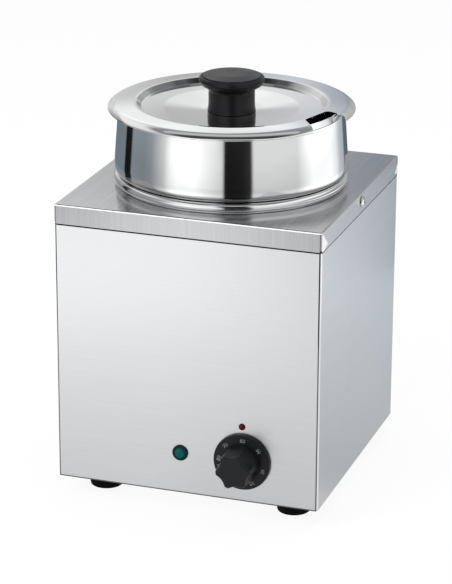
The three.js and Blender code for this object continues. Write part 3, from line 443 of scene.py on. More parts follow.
def case_folds(n, look):
    """The folds at the front's edges are smooth, darkened on the front by painted shade and made pale
    on the side by a painted highlight.
    """
    across = n.maths("ABSOLUTE", n.axis("X"))
    depth = n.axis("Y")
    front = within(n, depth, -CASE_HALF - 1, -CASE_HALF + 0.6)
    # Painted shade: dark lines along the front's vertical folds and along its lower edge.
    corner = n.times(front, within(n, across, CASE_HALF - 2.0, CASE_HALF - 0.5, 0.3))
    lower = n.times(front, within(n, n.axis("Z"), FOOT_HEIGHT - 1, FOOT_HEIGHT + 1.1, 0.3))
    dark = n.times(n.maths("MAXIMUM", corner, lower), 0.92)
    shade = n.blend(dark, look["Base_Color"], (0.07, 0.074, 0.08))
    bend = within(n, depth, -CASE_HALF - 1, -CASE_HALF + 2.8, 0.2)
    fold = n.times(bend, within(n, across, CASE_HALF - 2.6, CASE_HALF + 1, 0.2))
    look["Roughness"] = n.blend(fold, look["Roughness"], (0.08, 0.08, 0.08))
    # Painted highlight: a pale, less metallic strip on the side of each front fold, in place of the
    # fold's bright reflection.
    flank = within(n, depth, -CASE_HALF + 0.25, -CASE_HALF + 2.6, 0.25)
    wear_and_painted_highlight = n.times(flank, within(n, across, CASE_HALF - 0.9, CASE_HALF + 1, 0.1))
    look["Base_Color"] = n.blend(n.times(wear_and_painted_highlight, 0.9), shade, (0.97, 0.97, 0.97))
    look["Metallic"] = n.maths("SUBTRACT", 1.0, n.times(wear_and_painted_highlight, 0.6))


def top_bend(n, look):
    """A painted highlight along the front top bend of the deck, with a painted dark line above it."""
    front = n.spread(n.axis("Y"), 1.0, 0.0, (-DECK / 2 + 1.5) * MM, (-DECK / 2 + 1.6) * MM)
    height = n.axis("Z")
    # Painted highlight on the bend, and a painted dark line just above it.
    pale = n.times(front, within(n, height, DECK_TOP - 1.4, DECK_TOP - 0.45, 0.08))
    dark = n.times(front, within(n, height, DECK_TOP - 0.45, DECK_TOP - 0.05, 0.04))
    shade = n.blend(dark, look["Base_Color"], (0.12, 0.125, 0.13))
    look["Base_Color"] = n.blend(pale, shade, (0.95, 0.95, 0.95))
    look["Metallic"] = n.maths("SUBTRACT", 0.90, n.times(pale, 0.85))


def front_skirt(n, look):
    """The deck's steel, with painted shade: its front skirt is darker overall and toward both ends, and
    its top is darker toward the right.
    """
    skirt = n.spread(n.axis("Z"), 1.0, 0.0, (DECK_TOP - 1.6) * MM, (DECK_TOP - 1.4) * MM)
    # Painted shade along the deck: toward both ends of the skirt, and toward the right on the top.
    along = n.rise(n.axis("X"), -DECK / 2 * MM, DECK / 2 * MM)
    ends = n.ramp(along, [(0.0, 0.77), (0.12, 0.81), (0.3, 0.93), (0.5, 1.0), (0.75, 0.97), (1.0, 0.9)])
    plain = n.ramp(along, [(0.0, 1.0), (0.25, 0.96), (0.4, 0.86), (1.0, 0.86)])
    share = n.blend(skirt, plain, n.shaded(ends, SKIRT_PAINTED_SHADE))
    look["Base_Color"] = n.shaded(look["Base_Color"], share)
    top_bend(n, look)


def side_skirt(n, look):
    """The deck's side steel, with the pale ground triangles that its welded corners leave."""
    depth = n.axis("Y")
    along = n.maths("SUBTRACT", DECK / 2 * MM, n.maths("ABSOLUTE", depth))
    off = n.maths("SUBTRACT", n.axis("Z"), (DECK_TOP - DECK_SKIRT * 0.84) * MM)
    slant = n.maths("MAXIMUM", n.times(off, 1.22), n.times(off, -4.2))
    reach = n.spread(depth, 0.0195, 0.0125, -0.05, 0.05)
    edge = n.maths("SUBTRACT", reach, slant)
    wobble = n.times(n.noise(n.place((90, 90, 300)), detail=2.0), 0.003)
    inside = n.maths("SUBTRACT", n.maths("ADD", edge, wobble), along)
    ground = n.rise(inside, 0.0015, 0.0035)
    fan = n.noise(n.place((60, 60, 900)), detail=3.0)
    pale = n.tint(fan, (0.70, 0.71, 0.72), (0.86, 0.86, 0.865))
    look["Base_Color"] = n.blend(ground, look["Base_Color"], pale)
    look["Metallic"] = n.maths("SUBTRACT", 1.0, n.times(ground, 0.25))
    look["Normal"] = n.bump(n.times(depth, 0.27), ground, 1.0, look["Normal"])


def polished_steel(name, finish, colour=BRIGHT, rough=0.05):
    """Mirror steel with the faint rings that spinning and buffing leave."""
    n = Nodes(name)
    spun = n.add("CombineXYZ", X=n.reach(), Z=n.axis("Z"))
    lines = n.noise(spun.outputs[0], scale=900.0, detail=3.0)
    cloud = n.noise(n.place((14, 14, 22)), detail=3.0)
    shade = n.tint(cloud, scaled(colour, 0.96), colour, 0.35, 0.65)
    sheen = n.maths("ADD", n.spread(lines, rough - 0.015, rough + 0.02), n.spread(cloud, 0.0, 0.02))
    return n.finish(
        Base_Color=finish(n, shade),
        Metallic=1.0,
        Roughness=sheen,
        Normal=n.bump(lines, 0.05, 0.00001, n.bump(cloud, 0.05, 0.00012)),
    )


def shoulder_shade(n, shade):
    """The pot's lower bend lies in its own shadow, above the bead."""
    bend = n.rise(n.axis("Z"), 290.0 * MM, 298.0 * MM)
    middle = n.ramp(bend, [
        (0.0, 0.04), (0.125, 0.04), (0.15, 0.9), (0.21, 0.9), (0.26, 0.45), (0.70, 0.40), (0.80, 0.62),
        (0.88, 1.0),
    ])
    flank = n.ramp(bend, [(0.0, 0.04), (0.13, 0.04), (0.17, 1.0), (1.0, 1.0)])
    front = n.rise(n.axis("X"), -72.0 * MM, -42.0 * MM)
    return n.shaded(shade, n.blend(front, flank, middle))


def bead_shade(n, shade):
    """A painted shadow: a dark line on the bead, where the pot rests over it."""
    upper = n.rise(n.axis("Z"), 286.0 * MM, 287.0 * MM)
    close = n.spread(n.reach(), 1.0, 0.0, 102.6 * MM, 103.4 * MM)
    return n.shaded(shade, n.spread(n.times(upper, close), 1.0, 0.08))


def step_shade(n, shade):
    """Painted shade: the lid's pressed step is darker than the rest, most of all behind the knob."""
    step = within(n, n.reach(), 82.7, 86.9, 0.35)
    share = n.ramp(n.rise(n.axis("X"), -90.0 * MM, 90.0 * MM), [
        (0.0, 0.5), (0.15, 0.35), (0.4, 0.45), (0.6, 0.3), (0.75, 0.5), (0.85, 0.8), (1.0, 0.9),
    ])
    rear = n.rise(n.axis("Y"), -10.0 * MM, 20.0 * MM)
    return n.blend(n.times(step, rear), shade, n.shaded(shade, share))


def moulding(name, colour, rough, gloss=0.5):
    """Moulded plastic: a fine skin, small changes in gloss, and paler rubbed spots."""
    n = Nodes(name)
    pores = n.noise(n.place((2600, 2600, 2600)), detail=2.0)
    cloud = n.noise(n.place((45, 45, 45)), detail=4.0)
    wear_and_painted_highlight = n.noise(n.place((240, 240, 240)), detail=4.0, roughness=0.7)
    shade = n.tint(cloud, scaled(colour, 0.85), scaled(colour, 1.15))
    pale = tuple(c * 1.5 + 0.006 for c in colour)
    shade = n.blend(n.spread(wear_and_painted_highlight, 0.0, 0.3, 0.62, 0.78), shade, pale)
    sheen = n.maths("ADD", n.spread(cloud, rough - 0.05, rough + 0.05), n.spread(pores, -0.02, 0.03))
    return n.finish(
        Base_Color=shade,
        Roughness=sheen,
        Specular_IOR_Level=gloss,
        Normal=n.bump(pores, 0.12, 0.00003),
    )


def plated(name, colour, rough):
    n = Nodes(name)
    cloud = n.noise(n.place((160, 160, 160)), detail=4.0)
    fine = n.noise(n.place((1400, 1400, 1400)), detail=2.0)
    shade = n.tint(cloud, scaled(colour, 0.86), colour)
    return n.finish(
        Base_Color=shade,
        Metallic=1.0,
        Roughness=n.spread(cloud, rough - 0.06, rough + 0.08),
        Normal=n.bump(fine, 0.1, 0.00003),
    )


def lens_plastic(name, colour, deep, centre, dome):
    """A coloured lens: a paler dome in a dark flange, with a pattern of small prisms inside it."""
    n = Nodes(name)
    across = n.maths("SUBTRACT", n.axis("X"), centre[0] * MM)
    up = n.maths("SUBTRACT", n.axis("Z"), centre[1] * MM)
    reach = n.maths("SQRT", n.maths("ADD", n.times(across, across), n.times(up, up)))
    flange = n.rise(reach, (dome - 0.2) * MM, (dome + 0.5) * MM)
    prisms = n.add("TexVoronoi", Vector=n.place((900, 900, 900)), Scale=1.0).outputs["Distance"]
    cloud = n.noise(n.place((300, 300, 300)), detail=2.0)
    shade = n.blend(n.spread(prisms, 0.0, 0.6, 0.1, 0.8), colour, deep)
    shade = n.blend(flange, shade, scaled(deep, 0.45))
    return n.finish(
        Base_Color=shade,
        Roughness=n.spread(cloud, 0.12, 0.2),
        Specular_IOR_Level=0.12,
        IOR=1.49,
        Coat_Weight=0.06,
        Coat_Roughness=0.04,
        Normal=n.bump(prisms, 0.18, 0.0001),
    )


def rubber(name):
    n = Nodes(name)
    pores = n.noise(n.place((900, 900, 900)), detail=4.0)
    dust = n.noise(n.place((70, 70, 70)), detail=4.0)
    shade = n.tint(dust, (0.0015, 0.0015, 0.0015), (0.006, 0.006, 0.006))
    return n.finish(
        Base_Color=shade,
        Roughness=n.spread(dust, 0.66, 0.8),
        Specular_IOR_Level=0.07,
        Normal=n.bump(pores, 0.3, 0.00006),
    )


def mineral_wool(name):
    n = Nodes(name)
    fibres = n.noise(n.place((300, 300, 1100)), detail=6.0, roughness=0.75)
    shade = n.tint(fibres, (0.36, 0.33, 0.22), (0.72, 0.68, 0.5))
    return n.finish(Base_Color=shade, Roughness=0.95, Normal=n.bump(fibres, 0.9, 0.0008))


def worn_print(name):
    """The pale ink of the dial's scale, thin in places."""
    n = Nodes(name)
    wear = n.noise(n.place((1500, 1500, 1500)), detail=3.0)
    shade = n.tint(wear, (0.03, 0.03, 0.033), (0.62, 0.63, 0.65), 0.44, 0.64)
    return n.finish(Base_Color=shade, Roughness=n.spread(wear, 0.45, 0.6))


wrap_steel = brushed_steel("wrap_steel", (16, 16, 1300), relief=0.05, finish=case_folds)
# Painted shade: a dark copy of the wrap's steel for the joint under the deck's front skirt.
painted_shade_steel = brushed_steel("painted_shade_steel", (16, 16, 1300), scaled(STEEL, 0.15), 0.5)
deck_top_steel = brushed_steel(
    "deck_top_steel", (1100, 14, 14), DECK_STEEL, 0.16, 0.84, finish=front_skirt
)
deck_side_steel = brushed_steel(
    "deck_side_steel", (14, 14, 1100), scaled(STEEL, 0.9), 0.28, 0.93, finish=side_skirt
)
lid_mirror = polished_steel("lid_steel", step_shade)
pot_mirror = polished_steel("pot_steel", shoulder_shade)
well_mirror = polished_steel("well_steel", bead_shade, scaled(BRIGHT, 0.96), 0.1)
bright_screw = plated("bright_screw", (0.85, 0.855, 0.86), 0.16)
zinc = plated("zinc_plate", (0.62, 0.63, 0.64), 0.32)
black = moulding("black_phenolic", (0.0075, 0.0078, 0.009), 0.34, 0.3)
black_grip = moulding("black_dial", (0.0065, 0.0069, 0.0085), 0.36, 0.28)
ivory = moulding("ivory_moulding", (0.72, 0.69, 0.62), 0.45)
white = moulding("white_moulding", (0.78, 0.78, 0.75), 0.5)
brown = moulding("brown_moulding", (0.06, 0.03, 0.018), 0.45)
element = plated("element_sheath", (0.2, 0.185, 0.17), 0.5)
copper = plated("copper_tube", (0.72, 0.34, 0.2), 0.28)
brass = plated("brass_plate", (0.78, 0.6, 0.26), 0.3)
foot_rubber = rubber("foot_rubber")
wool = mineral_wool("mineral_wool")
ink = worn_print("scale_ink")
green = lens_plastic("green_lens", (0.0, 0.105, 0.10), (0.0, 0.038, 0.037), GREEN_LAMP, 4.7)
red = lens_plastic("red_lens", (0.11, 0.003, 0.006), (0.05, 0.001, 0.003), RED_LAMP, 2.4)

by_start = {
    "base_plate": wrap_steel,
    "heating_element": element,
    "overheat_cutout": brown,
    "sensor_bulb": copper,
    "capillary_tube": copper,
    "thermostat_body": ivory,
    "well_insulation": wool,
    "terminal_block": ivory,
    "earth_": brass,
    "green_lamp_holder": white,
    "red_lamp_holder": white,
    "gland_seal": foot_rubber,
    "gland_locknut": black,
    "gland_body": black,
    "foot_screw": zinc,
    "foot_nut": zinc,
}
for node_name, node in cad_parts.items():
    chosen = next((m for start, m in by_start.items() if node_name.startswith(start)), zinc)
    node.data.materials.clear()
    node.data.materials.append(chosen)


# Casing


def panel_screw_places():
    x = CASE_HALF - 8
    return [(side * x, z) for z in (FOOT_HEIGHT + 24, DECK_TOP - DECK_SKIRT - 24) for side in (-1, 1)]


def wall_band(name, half, thickness, z0, z1):
    """The front, the sides and the rear flanges of the casing, as one folded band."""
    outside = bent(
        [
            (-CASE_HALF + REAR_FLANGE, WRAP_REAR),
            (-half, WRAP_REAR, CASE_BEND),
            (-half, -half, CASE_BEND),
            (half, -half, CASE_BEND),
            (half, WRAP_REAR, CASE_BEND),
            (CASE_HALF - REAR_FLANGE, WRAP_REAR),
        ],
        10,
    )
    return prism(name, sheet(outside, -thickness), z0, z1)


def make_wrap():
    """The folded casing, its neck under the deck, and a lip that closes the joint at each side."""
    wrap = wall_band("case_shell", CASE_HALF, SHEET, FOOT_HEIGHT, WALL_TOP)
    front, rear = -CASE_HALF + 3, WRAP_REAR - 3
    for side in (-1, 1):
        x0, x1 = sorted((side * CASE_HALF, side * (CASE_HALF - SHEET)))
        outline = [(x0, front), (x1, front), (x1, rear), (x0, rear)]
        lip = prism("case_side_lip", outline, WALL_TOP - 0.05, DECK_TOP - DECK_SKIRT - 0.03)
        dress(lip, wrap_steel, "case", "brushed_steel")
    overhang = CASE_HALF - NECK_HALF + SHEET
    step = wall_band("case_shoulder", CASE_HALF, overhang, WALL_TOP - SHEET, WALL_TOP)
    neck = wall_band("case_neck", NECK_HALF, SHEET, WALL_TOP, CASE_TOP)
    carve(neck, rod(SIDE_SCREW_HOLE, -DECK, DECK, facing("right", z=SIDE_SCREW_Z)))
    cutters = []
    # Holes for the dial's bush, the two lamps and the thermostat's screws
    for radius, (x, z) in (
        (4.9, (DIAL_X, DIAL_Z)),
        (5.9, GREEN_LAMP),
        (2.8, RED_LAMP),
        (2.2, (DIAL_X - 14, DIAL_Z)),
        (2.2, (DIAL_X + 14, DIAL_Z)),
    ):
        cutters.append(rod(radius, -5, 5, facing("front", x, -CASE_HALF, z)))
    for x, z in panel_screw_places():
        cutters.append(rod(PANEL_SCREW_HOLE, -4, 4, facing("rear", x, WRAP_REAR, z)))
    carve(wrap, *cutters)
    dress(wrap, wrap_steel, "case", "brushed_steel", "case_wrap")
    # The front faces of the shoulder and neck take the dark painted shade steel, and the rest takes the
    # wrap's steel.
    for band in (step, neck):
        dress(band, painted_shade_steel, "case", "brushed_steel")
        band.data.materials.append(wrap_steel)
        for face in band.data.polygons:
            if face.center.y > front * MM:
                face.material_index = 1


def make_rear_panel():
    """The screwed-on panel with its vents. Its outlines are drawn upside down for the turn."""
    half = CASE_HALF - CASE_BEND / 2
    outline = rounded_rectangle(-half, half, FOOT_HEIGHT, WALL_TOP, 0.8, 3)
    upright = facing("rear")
    panel = prism("rear_cover", [(-x, -z) for x, z in outline], PANEL_INNER, CASE_HALF, upright)
    cutters = [rod(GLAND_BORE, -5, 5, facing("rear", GLAND_X, CASE_HALF, GLAND_Z))]
    for low in VENT_BASES:
        for i in range(VENT_COUNT):
            x = (i - (VENT_COUNT - 1) / 2) * VENT_PITCH
            slot = stadium(x, low, low + VENT_LENGTH, VENT_HALF)
            slot = [(x, -z) for x, z in slot]
            cutters.append(prism("cutter", slot, PANEL_INNER - 4, CASE_HALF + 4, upright))
    for x, z in panel_screw_places():
        cutters.append(rod(PANEL_SCREW_HOLE, -4, 4, facing("rear", x, CASE_HALF, z)))
    carve(panel, *cutters)
    soften(panel, 0.25, 2, 50.0)
    dress(panel, wrap_steel, "case", "brushed_steel", "rear_panel")


def square_ring(bm, inset, z, radius, per_side):
    """Points round a rounded square, spaced so that they pair with those of a circle."""
    half = DECK / 2 - inset
    core = half - radius
    bend = arc(core, core, radius, 0, 90, 6, 1)[:-1]
    points = []
    for quarter in range(4):
        turn = Matrix.Rotation(math.pi / 2 * quarter, 2)
        flat = [(half, -core + 2 * core * i / per_side) for i in range(per_side + 1)]
        for point in flat + bend:
            x, y = turn @ Vector(point)
            points.append(bm.verts.new((x * MM, y * MM, z * MM)))
    return points


def make_deck():
    """The pressed top: a square skirt, a soft bend and one round hole, in one sheet."""
    bottom = DECK_TOP - DECK_SKIRT
    under = DECK_TOP - SHEET
    hole = 100.0 * MM
    bm = bmesh.new()
    outer = bent([(0, bottom), (0, DECK_TOP, DECK_BEND), (20, DECK_TOP)], 8)
    inner = bent([(SHEET, bottom), (SHEET, under, DECK_BEND - SHEET), (20, under)], 4)

    def square(inset, z):
        radius = max(2.0 - inset, 0.5) if inset < 1.5 else 0.5
        return square_ring(bm, inset, z, radius, 24)

    rings = [square(*point) for point in outer[:-1]]
    turns = [math.atan2(v.co.y, v.co.x) for v in rings[0]]
    for z in (DECK_TOP, under):
        rings.append([bm.verts.new((hole * math.cos(a), hole * math.sin(a), z * MM)) for a in turns])
    rings += [square(*point) for point in inner[:-1][::-1]]
    skin(bm, rings + rings[:1])
    deck = solid("deck_top", bm)
    cutters = [rod(SIDE_SCREW_HOLE, -DECK, DECK, facing("right", z=SIDE_SCREW_Z))]
    for sx in (-1, 1):
        for sy in (-1, 1):
            tilt = Matrix.Translation(Vector((sx * DECK / 2, sy * DECK / 2, bottom)) * MM)
            tilt = tilt @ Matrix.Rotation(math.atan2(sy, sx), 4, "Z")
            tilt = tilt @ Matrix.Rotation(math.pi / 2, 4, "Y")
            cutters.append(rod(1.5, -6, 6, tilt, 20))
    carve(deck, *cutters)
    dress(deck, deck_top_steel, "case", "brushed_steel", "deck", sharp=30.0)
    deck.data.materials.append(deck_side_steel)
    for face in deck.data.polygons:
        if abs(face.normal.x) > 0.8:
            face.material_index = 1


def make_well():
    path = bent([(0, WELL_FLOOR), (WELL_WET, WELL_FLOOR, 14), (WELL_WET, BEAD_LEVEL)], 12)
    path += arc(BEAD_CENTRE, BEAD_LEVEL, BEAD_RADIUS, 180, -226, 34, 1)
    path += bent([(106.3, 282.0), (106.0, DECK_TOP + 0.3, 0.4), (103.6, DECK_TOP + 0.3)], 5)
    well = lathe("well_tank", sheet(path, SHEET), 160)
    dress(well, well_mirror, "case", "polished_steel", "well")


def make_foot(name, x, y):
    outline = bent(
        [(7, 7), (7, 0, 0.5), (15, 0, 1.2), (16.2, 7, 2), (18, FOOT_HEIGHT), (2.8, FOOT_HEIGHT),
         (2.8, 7)],
        5,
    )
    foot = lathe(f"{name}_pad", outline, 64, facing("up", x, y))
    dress(foot, foot_rubber, "case", "black_rubber", name)


def recess(depth, width, top, place):
    """A cross-shaped hollow for a screwdriver."""
    half = width / 2
    for wide, tall in ((half, 0.5), (0.5, half)):
        slot = rounded_rectangle(-wide, wide, -tall, tall, 0.2, 2)
        yield prism("cutter", slot, top - depth, top + 3, place)


def make_screw(node, material, slot, place, head, height, shank, length):
    """A pan-head screw whose crown faces local +Z, with the head's underside at zero."""
    outline = bent(
        [(0, height), (head * 0.55, height, head), (head, height * 0.45, height * 0.5), (head, 0),
         (shank, 0), (shank, -length, 0.5), (0, -length)],
        5,
    )
    screw = lathe(f"{node}_fine", outline, 40, place)
    carve(screw, *recess(height * 0.55, head, height, place))
    dress(screw, material, "case", slot, node)


def make_casing():
    make_wrap()
    make_rear_panel()
    make_deck()
    make_well()
    for end, y in (("front", -FOOT_Y), ("rear", FOOT_Y)):
        for side, x in (("left", -FOOT_X), ("right", FOOT_X)):
            make_foot(f"foot_{end}_{side}", x, y)
    for side, sign in (("left", -1), ("right", 1)):
        place = facing(side, sign * (DECK / 2 + FIT), 0, SIDE_SCREW_Z)
        make_screw(
            f"deck_screw_{side}", bright_screw, "polished_steel", place,
            head=5.2, height=2.4, shank=2.5, length=12,
        )
    corners = ("lower_left", "lower_right", "upper_left", "upper_right")
    for name, (x, z) in zip(corners, panel_screw_places()):
        place = facing("rear", x, CASE_HALF + FIT, z)
        make_screw(
            f"panel_screw_{name}", zinc, "zinc_steel", place,
            head=3.6, height=2.2, shank=1.8, length=8,
        )


def make_gland():
    """The cable gland: a ribbed dome over its thread, and a hexagon against the panel."""
    place = facing("rear", GLAND_X, CASE_HALF, GLAND_Z)
    ledge = GLAND_LENGTH * 0.62
    thread = GLAND_FLANGE + GLAND_LENGTH * 0.35 + FIT
    outline = bent(
        [(GLAND_BORE, 5.6), (12.2, 5.6, 0.6), (12.2, ledge, 3), (7.8, GLAND_LENGTH, 1.2),
         (4.6, GLAND_LENGTH, 0.5), (4.6, GLAND_LENGTH - 4), (6.2, thread + 4), (GLAND_BORE, thread)],
        5,
    )
    cap = lathe("gland_dome", outline, 72, place)
    ribs = []
    for i in range(12):
        turn = place @ Matrix.Rotation(2 * math.pi * i / 12, 4, "Z")
        turn = turn @ Matrix.Translation(Vector((12.7, 0, 0)) * MM)
        ribs.append(rod(1.0, GLAND_FLANGE, ledge - 2, turn, 12))
    carve(cap, *ribs)
    dress(cap, black, "case", "black_phenolic", "gland_cap")
    hexagon = arc(0, 0, 24 / math.sqrt(3), 0, 300, 5)
    body = prism("gland_hexagon", hexagon, FIT, 5.3, place)
    carve(body, rod(7.8, -1, 9, place))
    soften(body, 0.5, 3)
    dress(body, black, "case", "black_phenolic")


# Pot and lid


def make_pot():
    path = bent(
        [(0, POT_FLOOR), (93.2, POT_FLOOR, 15), (94.0, POT_SEAT, 1), (POT_BELLY, POT_SEAT, 5),
         (POT_BELLY, 302.0, 60), (103.6, 349.0, 2), (100.4, POT_RIM)],
        10,
    )
    pot = lathe("pot_body", sheet(path, -SHEET), 192)
    dress(pot, pot_mirror, "pot", "polished_steel", "pot")


def make_lid():
    """The pressed sheet: dish, step and brim with a rolled edge, cut by the ladle notch."""
    path = bent(
        [(2.8, LID_DISH), (23, LID_DISH, 60), (62, LID_FLOOR - 0.7, 40), (82.6, LID_FLOOR, 0.6),
         (87.0, LID_CREST - 0.1, 1.6), (90.0, LID_CREST, 20), (104.6, 355.04)],
        8,
    )
    droop, edge = (103.78, 343.07, 12.0), (112.03, 350.5, 0.9)
    path += arc(*droop, 86, -44, 12, 1) + arc(*edge, 42, -192, 12, 1)
    lid = lathe("lid_sheet", sheet(path, SHEET), 192)
    inner, half, slant, slant_end = 89.4, 23.0, 13.0, 31.0
    outer = LID_RADIUS + 5
    slope = (slant_end - slant) / (LID_RADIUS - inner)
    end = slant + slope * (outer - inner)
    outline = bent([(outer, half), (inner, half, 4), (inner, -slant, 4), (outer, -end)], 8)
    turn = Matrix.Rotation(math.radians(NOTCH_ANGLE), 4, "Z")
    carve(lid, prism("cutter", outline, LID_DISH - 5, LID_CREST + 5, turn))
    dress(lid, lid_mirror, "lid", "polished_steel", "lid")


def make_knob():
    """The lid's black spool, with a line round its domed top."""
    def level(share):
        return KNOB_BASE + KNOB_HEIGHT * share

    neck, cap, bore = 21.2, 30.5, KNOB_BASE + 14.3
    path = bent(
        [(0, bore), (2.8, bore), (2.8, KNOB_BASE), (neck * 1.04, KNOB_BASE, 0.4),
         (neck, level(0.12), neck * 2), (neck, level(0.60), 4.0), (27.6, level(0.71), 3.0),
         (cap, level(0.83), 4.0), (29.4, level(0.92), 2.0), (27.6, level(0.95), 0.6),
         (27.3, level(0.925), 0.2), (26.8, level(0.925), 0.2), (26.5, level(0.965), 0.5),
         (13, level(1) - 0.2, 40), (0, level(1))],
        6,
    )
    knob = lathe("lid_handle", path, 128)
    dress(knob, black, "lid", "black_phenolic", "lid_knob")


# Dial and lamps

DIAL_SHAFT = 3.3
DIAL_FACE = 3.5
SCALE_RADIUS = 21.2
GRIP_LOW, GRIP_TOP, GRIP_BEVEL = 3.0, 28.5, 2.4
GRIP_BASE, GRIP_END = 18.2, 16.6
GRIP_LOBES, LOBE_POINTS = 6, 36
FLUTE_DEPTH, FLUTE_RADIUS, FLUTE_BLEND = 2.8, 9.5, 4.2
# The flutes stand a little round from straight up, as in the photograph
GRIP_TURN = math.radians(9)


def grip_ring(bm, share, z, shrink=0.0):
    """One outline of the grip: lobes between flutes that deepen with the share of its height."""
    radius = GRIP_BASE + (GRIP_END - GRIP_BASE) * share
    centre = radius + FLUTE_RADIUS - FLUTE_DEPTH * math.sin(share * math.pi / 2)
    count = GRIP_LOBES * LOBE_POINTS
    lobe = 2 * math.pi / GRIP_LOBES
    points = []
    for i in range(count):
        angle = 2 * math.pi * i / count
        away = ((angle - GRIP_TURN) % lobe) - lobe / 2
        chord = FLUTE_RADIUS**2 - (centre * math.sin(away)) ** 2
        scooped = centre * math.cos(away) - math.sqrt(chord) if chord > 0 else radius + 5
        near = max(FLUTE_BLEND - abs(radius - scooped), 0) / FLUTE_BLEND
        r = min(radius, scooped) - near * near * FLUTE_BLEND / 4 - shrink
        points.append(bm.verts.new((r * math.cos(angle) * MM, r * math.sin(angle) * MM, z * MM)))
    return points


def make_grip(place):
    bm = bmesh.new()
    shoulder = GRIP_TOP - GRIP_BEVEL
    rings = [grip_ring(bm, i / 18, GRIP_LOW + (shoulder - GRIP_LOW) * i / 18) for i in range(19)]
    for i in range(1, 6):
        angle = math.pi / 2 * i / 5
        shrink = GRIP_BEVEL * (1 - math.cos(angle))
        rings.append(grip_ring(bm, 1.0, shoulder + GRIP_BEVEL * math.sin(angle), shrink))
    skin(bm, rings)
    bm.faces.new(rings[0])
    bm.faces.new(rings[-1])
    grip = solid("dial_grip", bm, place)
    carve(grip, rod(DIAL_SHAFT, -1, 16.3, place))
    dress(grip, black_grip, "dial", "black_phenolic", sharp=50.0)


def on_scale(place, degrees, height):
    """Where a mark stands on the dial, at an angle clockwise from straight up."""
    mark = Matrix.Translation(Vector((0, SCALE_RADIUS, height)) * MM)
    return place @ Matrix.Rotation(math.radians(-degrees), 4, "Z") @ mark


def make_numeral(text, place):
    curve = bpy.data.curves.new(f"scale_{text}", "FONT")
    curve.body = text
    curve.size = 4.9 * MM
    curve.extrude = 0.03 * MM
    curve.align_x = "CENTER"
    curve.align_y = "CENTER"
    label = add_object(f"scale_{text}", curve)
    mesh = bpy.data.meshes.new_from_object(label.evaluated_get(bpy.context.evaluated_depsgraph_get()))
    bpy.data.objects.remove(label)
    bpy.data.curves.remove(curve)
    mesh.transform(place)
    mesh.materials.clear()
    mesh.materials.append(ink)
    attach(add_object(f"scale_{text}", mesh), "dial")


def make_dial():
    place = facing("front", DIAL_X, DIAL_BACK, DIAL_Z)
    outline = bent(
        [(DIAL_SHAFT, 0), (7.5, 0), (7.5, 2.4, 0.3), (22.5, 2.4, 0.3), (22.5, 0), (26.6, 0, 0.3),
         (26.6, 2.5, 0.6), (24.6, 2.5, 0.2), (24.6, DIAL_FACE, 0.35), (DIAL_SHAFT, DIAL_FACE)],
        5,
    )
    skirt = lathe("dial_skirt", outline, 128, place)
    dress(skirt, black_grip, "dial", "black_phenolic", "dial")
    make_grip(place)
    for text, degrees in (("80", -85), ("70", -45), ("60", 3), ("50", 50), ("40", 105), ("30", 150)):
        make_numeral(text, on_scale(place, degrees, DIAL_FACE + 0.04))
    mark = rounded_rectangle(-0.35, 0.35, -1.9, 1.9, 0.2, 3)
    bar = prism("scale_bar", mark, DIAL_FACE, DIAL_FACE + 0.07)
    bar.data.transform(on_scale(place, -103, 0))
    dress(bar, ink, "dial", "black_phenolic")


def make_lens(name, spot, material, slot, radius, spigot, dome, reach, flange):
    """A lamp's lens: a dome on a flange that stands on the panel, with a spigot behind it."""
    place = facing("front", spot[0], -CASE_HALF, spot[1])
    outline = bent(
        [(0, -5), (spigot, -5), (spigot, FIT), (radius, FIT), (radius, flange, flange * 0.45),
         (dome * 1.12, flange, 0.3), (dome, flange + 0.15, 0.2), (dome, reach * 0.72, dome * 0.45),
         (dome * 0.55, reach, dome * 2), (0, reach)],
        6,
    )
    lens = lathe(f"{name}_fine", outline, 64, place)
    dress(lens, material, "case", slot, name)


def make_controls():
    make_dial()
    make_lens(
        "green_lamp_lens", GREEN_LAMP, green, "green_lens",
        radius=7.5, spigot=3.6, dome=4.6, reach=3.4, flange=1.5,
    )
    make_lens(
        "red_lamp_lens", RED_LAMP, red, "red_lens",
        radius=3.1, spigot=1.6, dome=2.3, reach=2.2, flange=0.8,
    )


make_casing()
make_gland()
make_pot()
make_lid()
make_knob()
make_controls()


# Studio

TENT_RADIUS, TENT_HEIGHT = 0.62, 1.3
# The tent's greys are laid out from this angle, in degrees from straight in front
CAMERA_SIDE = 18.6


def direct_rays(tree):
    """One for rays from the camera, from a reflection or through a clear material."""
    path = tree.nodes.new("ShaderNodeLightPath")
    seen = path.outputs["Is Camera Ray"]
    for name in ("Is Glossy Ray", "Is Transmission Ray"):
        larger = tree.nodes.new("ShaderNodeMath")
        larger.operation = "MAXIMUM"
        tree.links.new(seen, larger.inputs[0])
        tree.links.new(path.outputs[name], larger.inputs[1])
        seen = larger.outputs[0]
    return seen


def round_ramp(n, turn, stops):
    """A ramp of greys over the angle from the camera's side, -180 to 180 degrees."""
    return n.ramp(turn, [((degrees + 180) / 360, colour) for degrees, colour in stops])


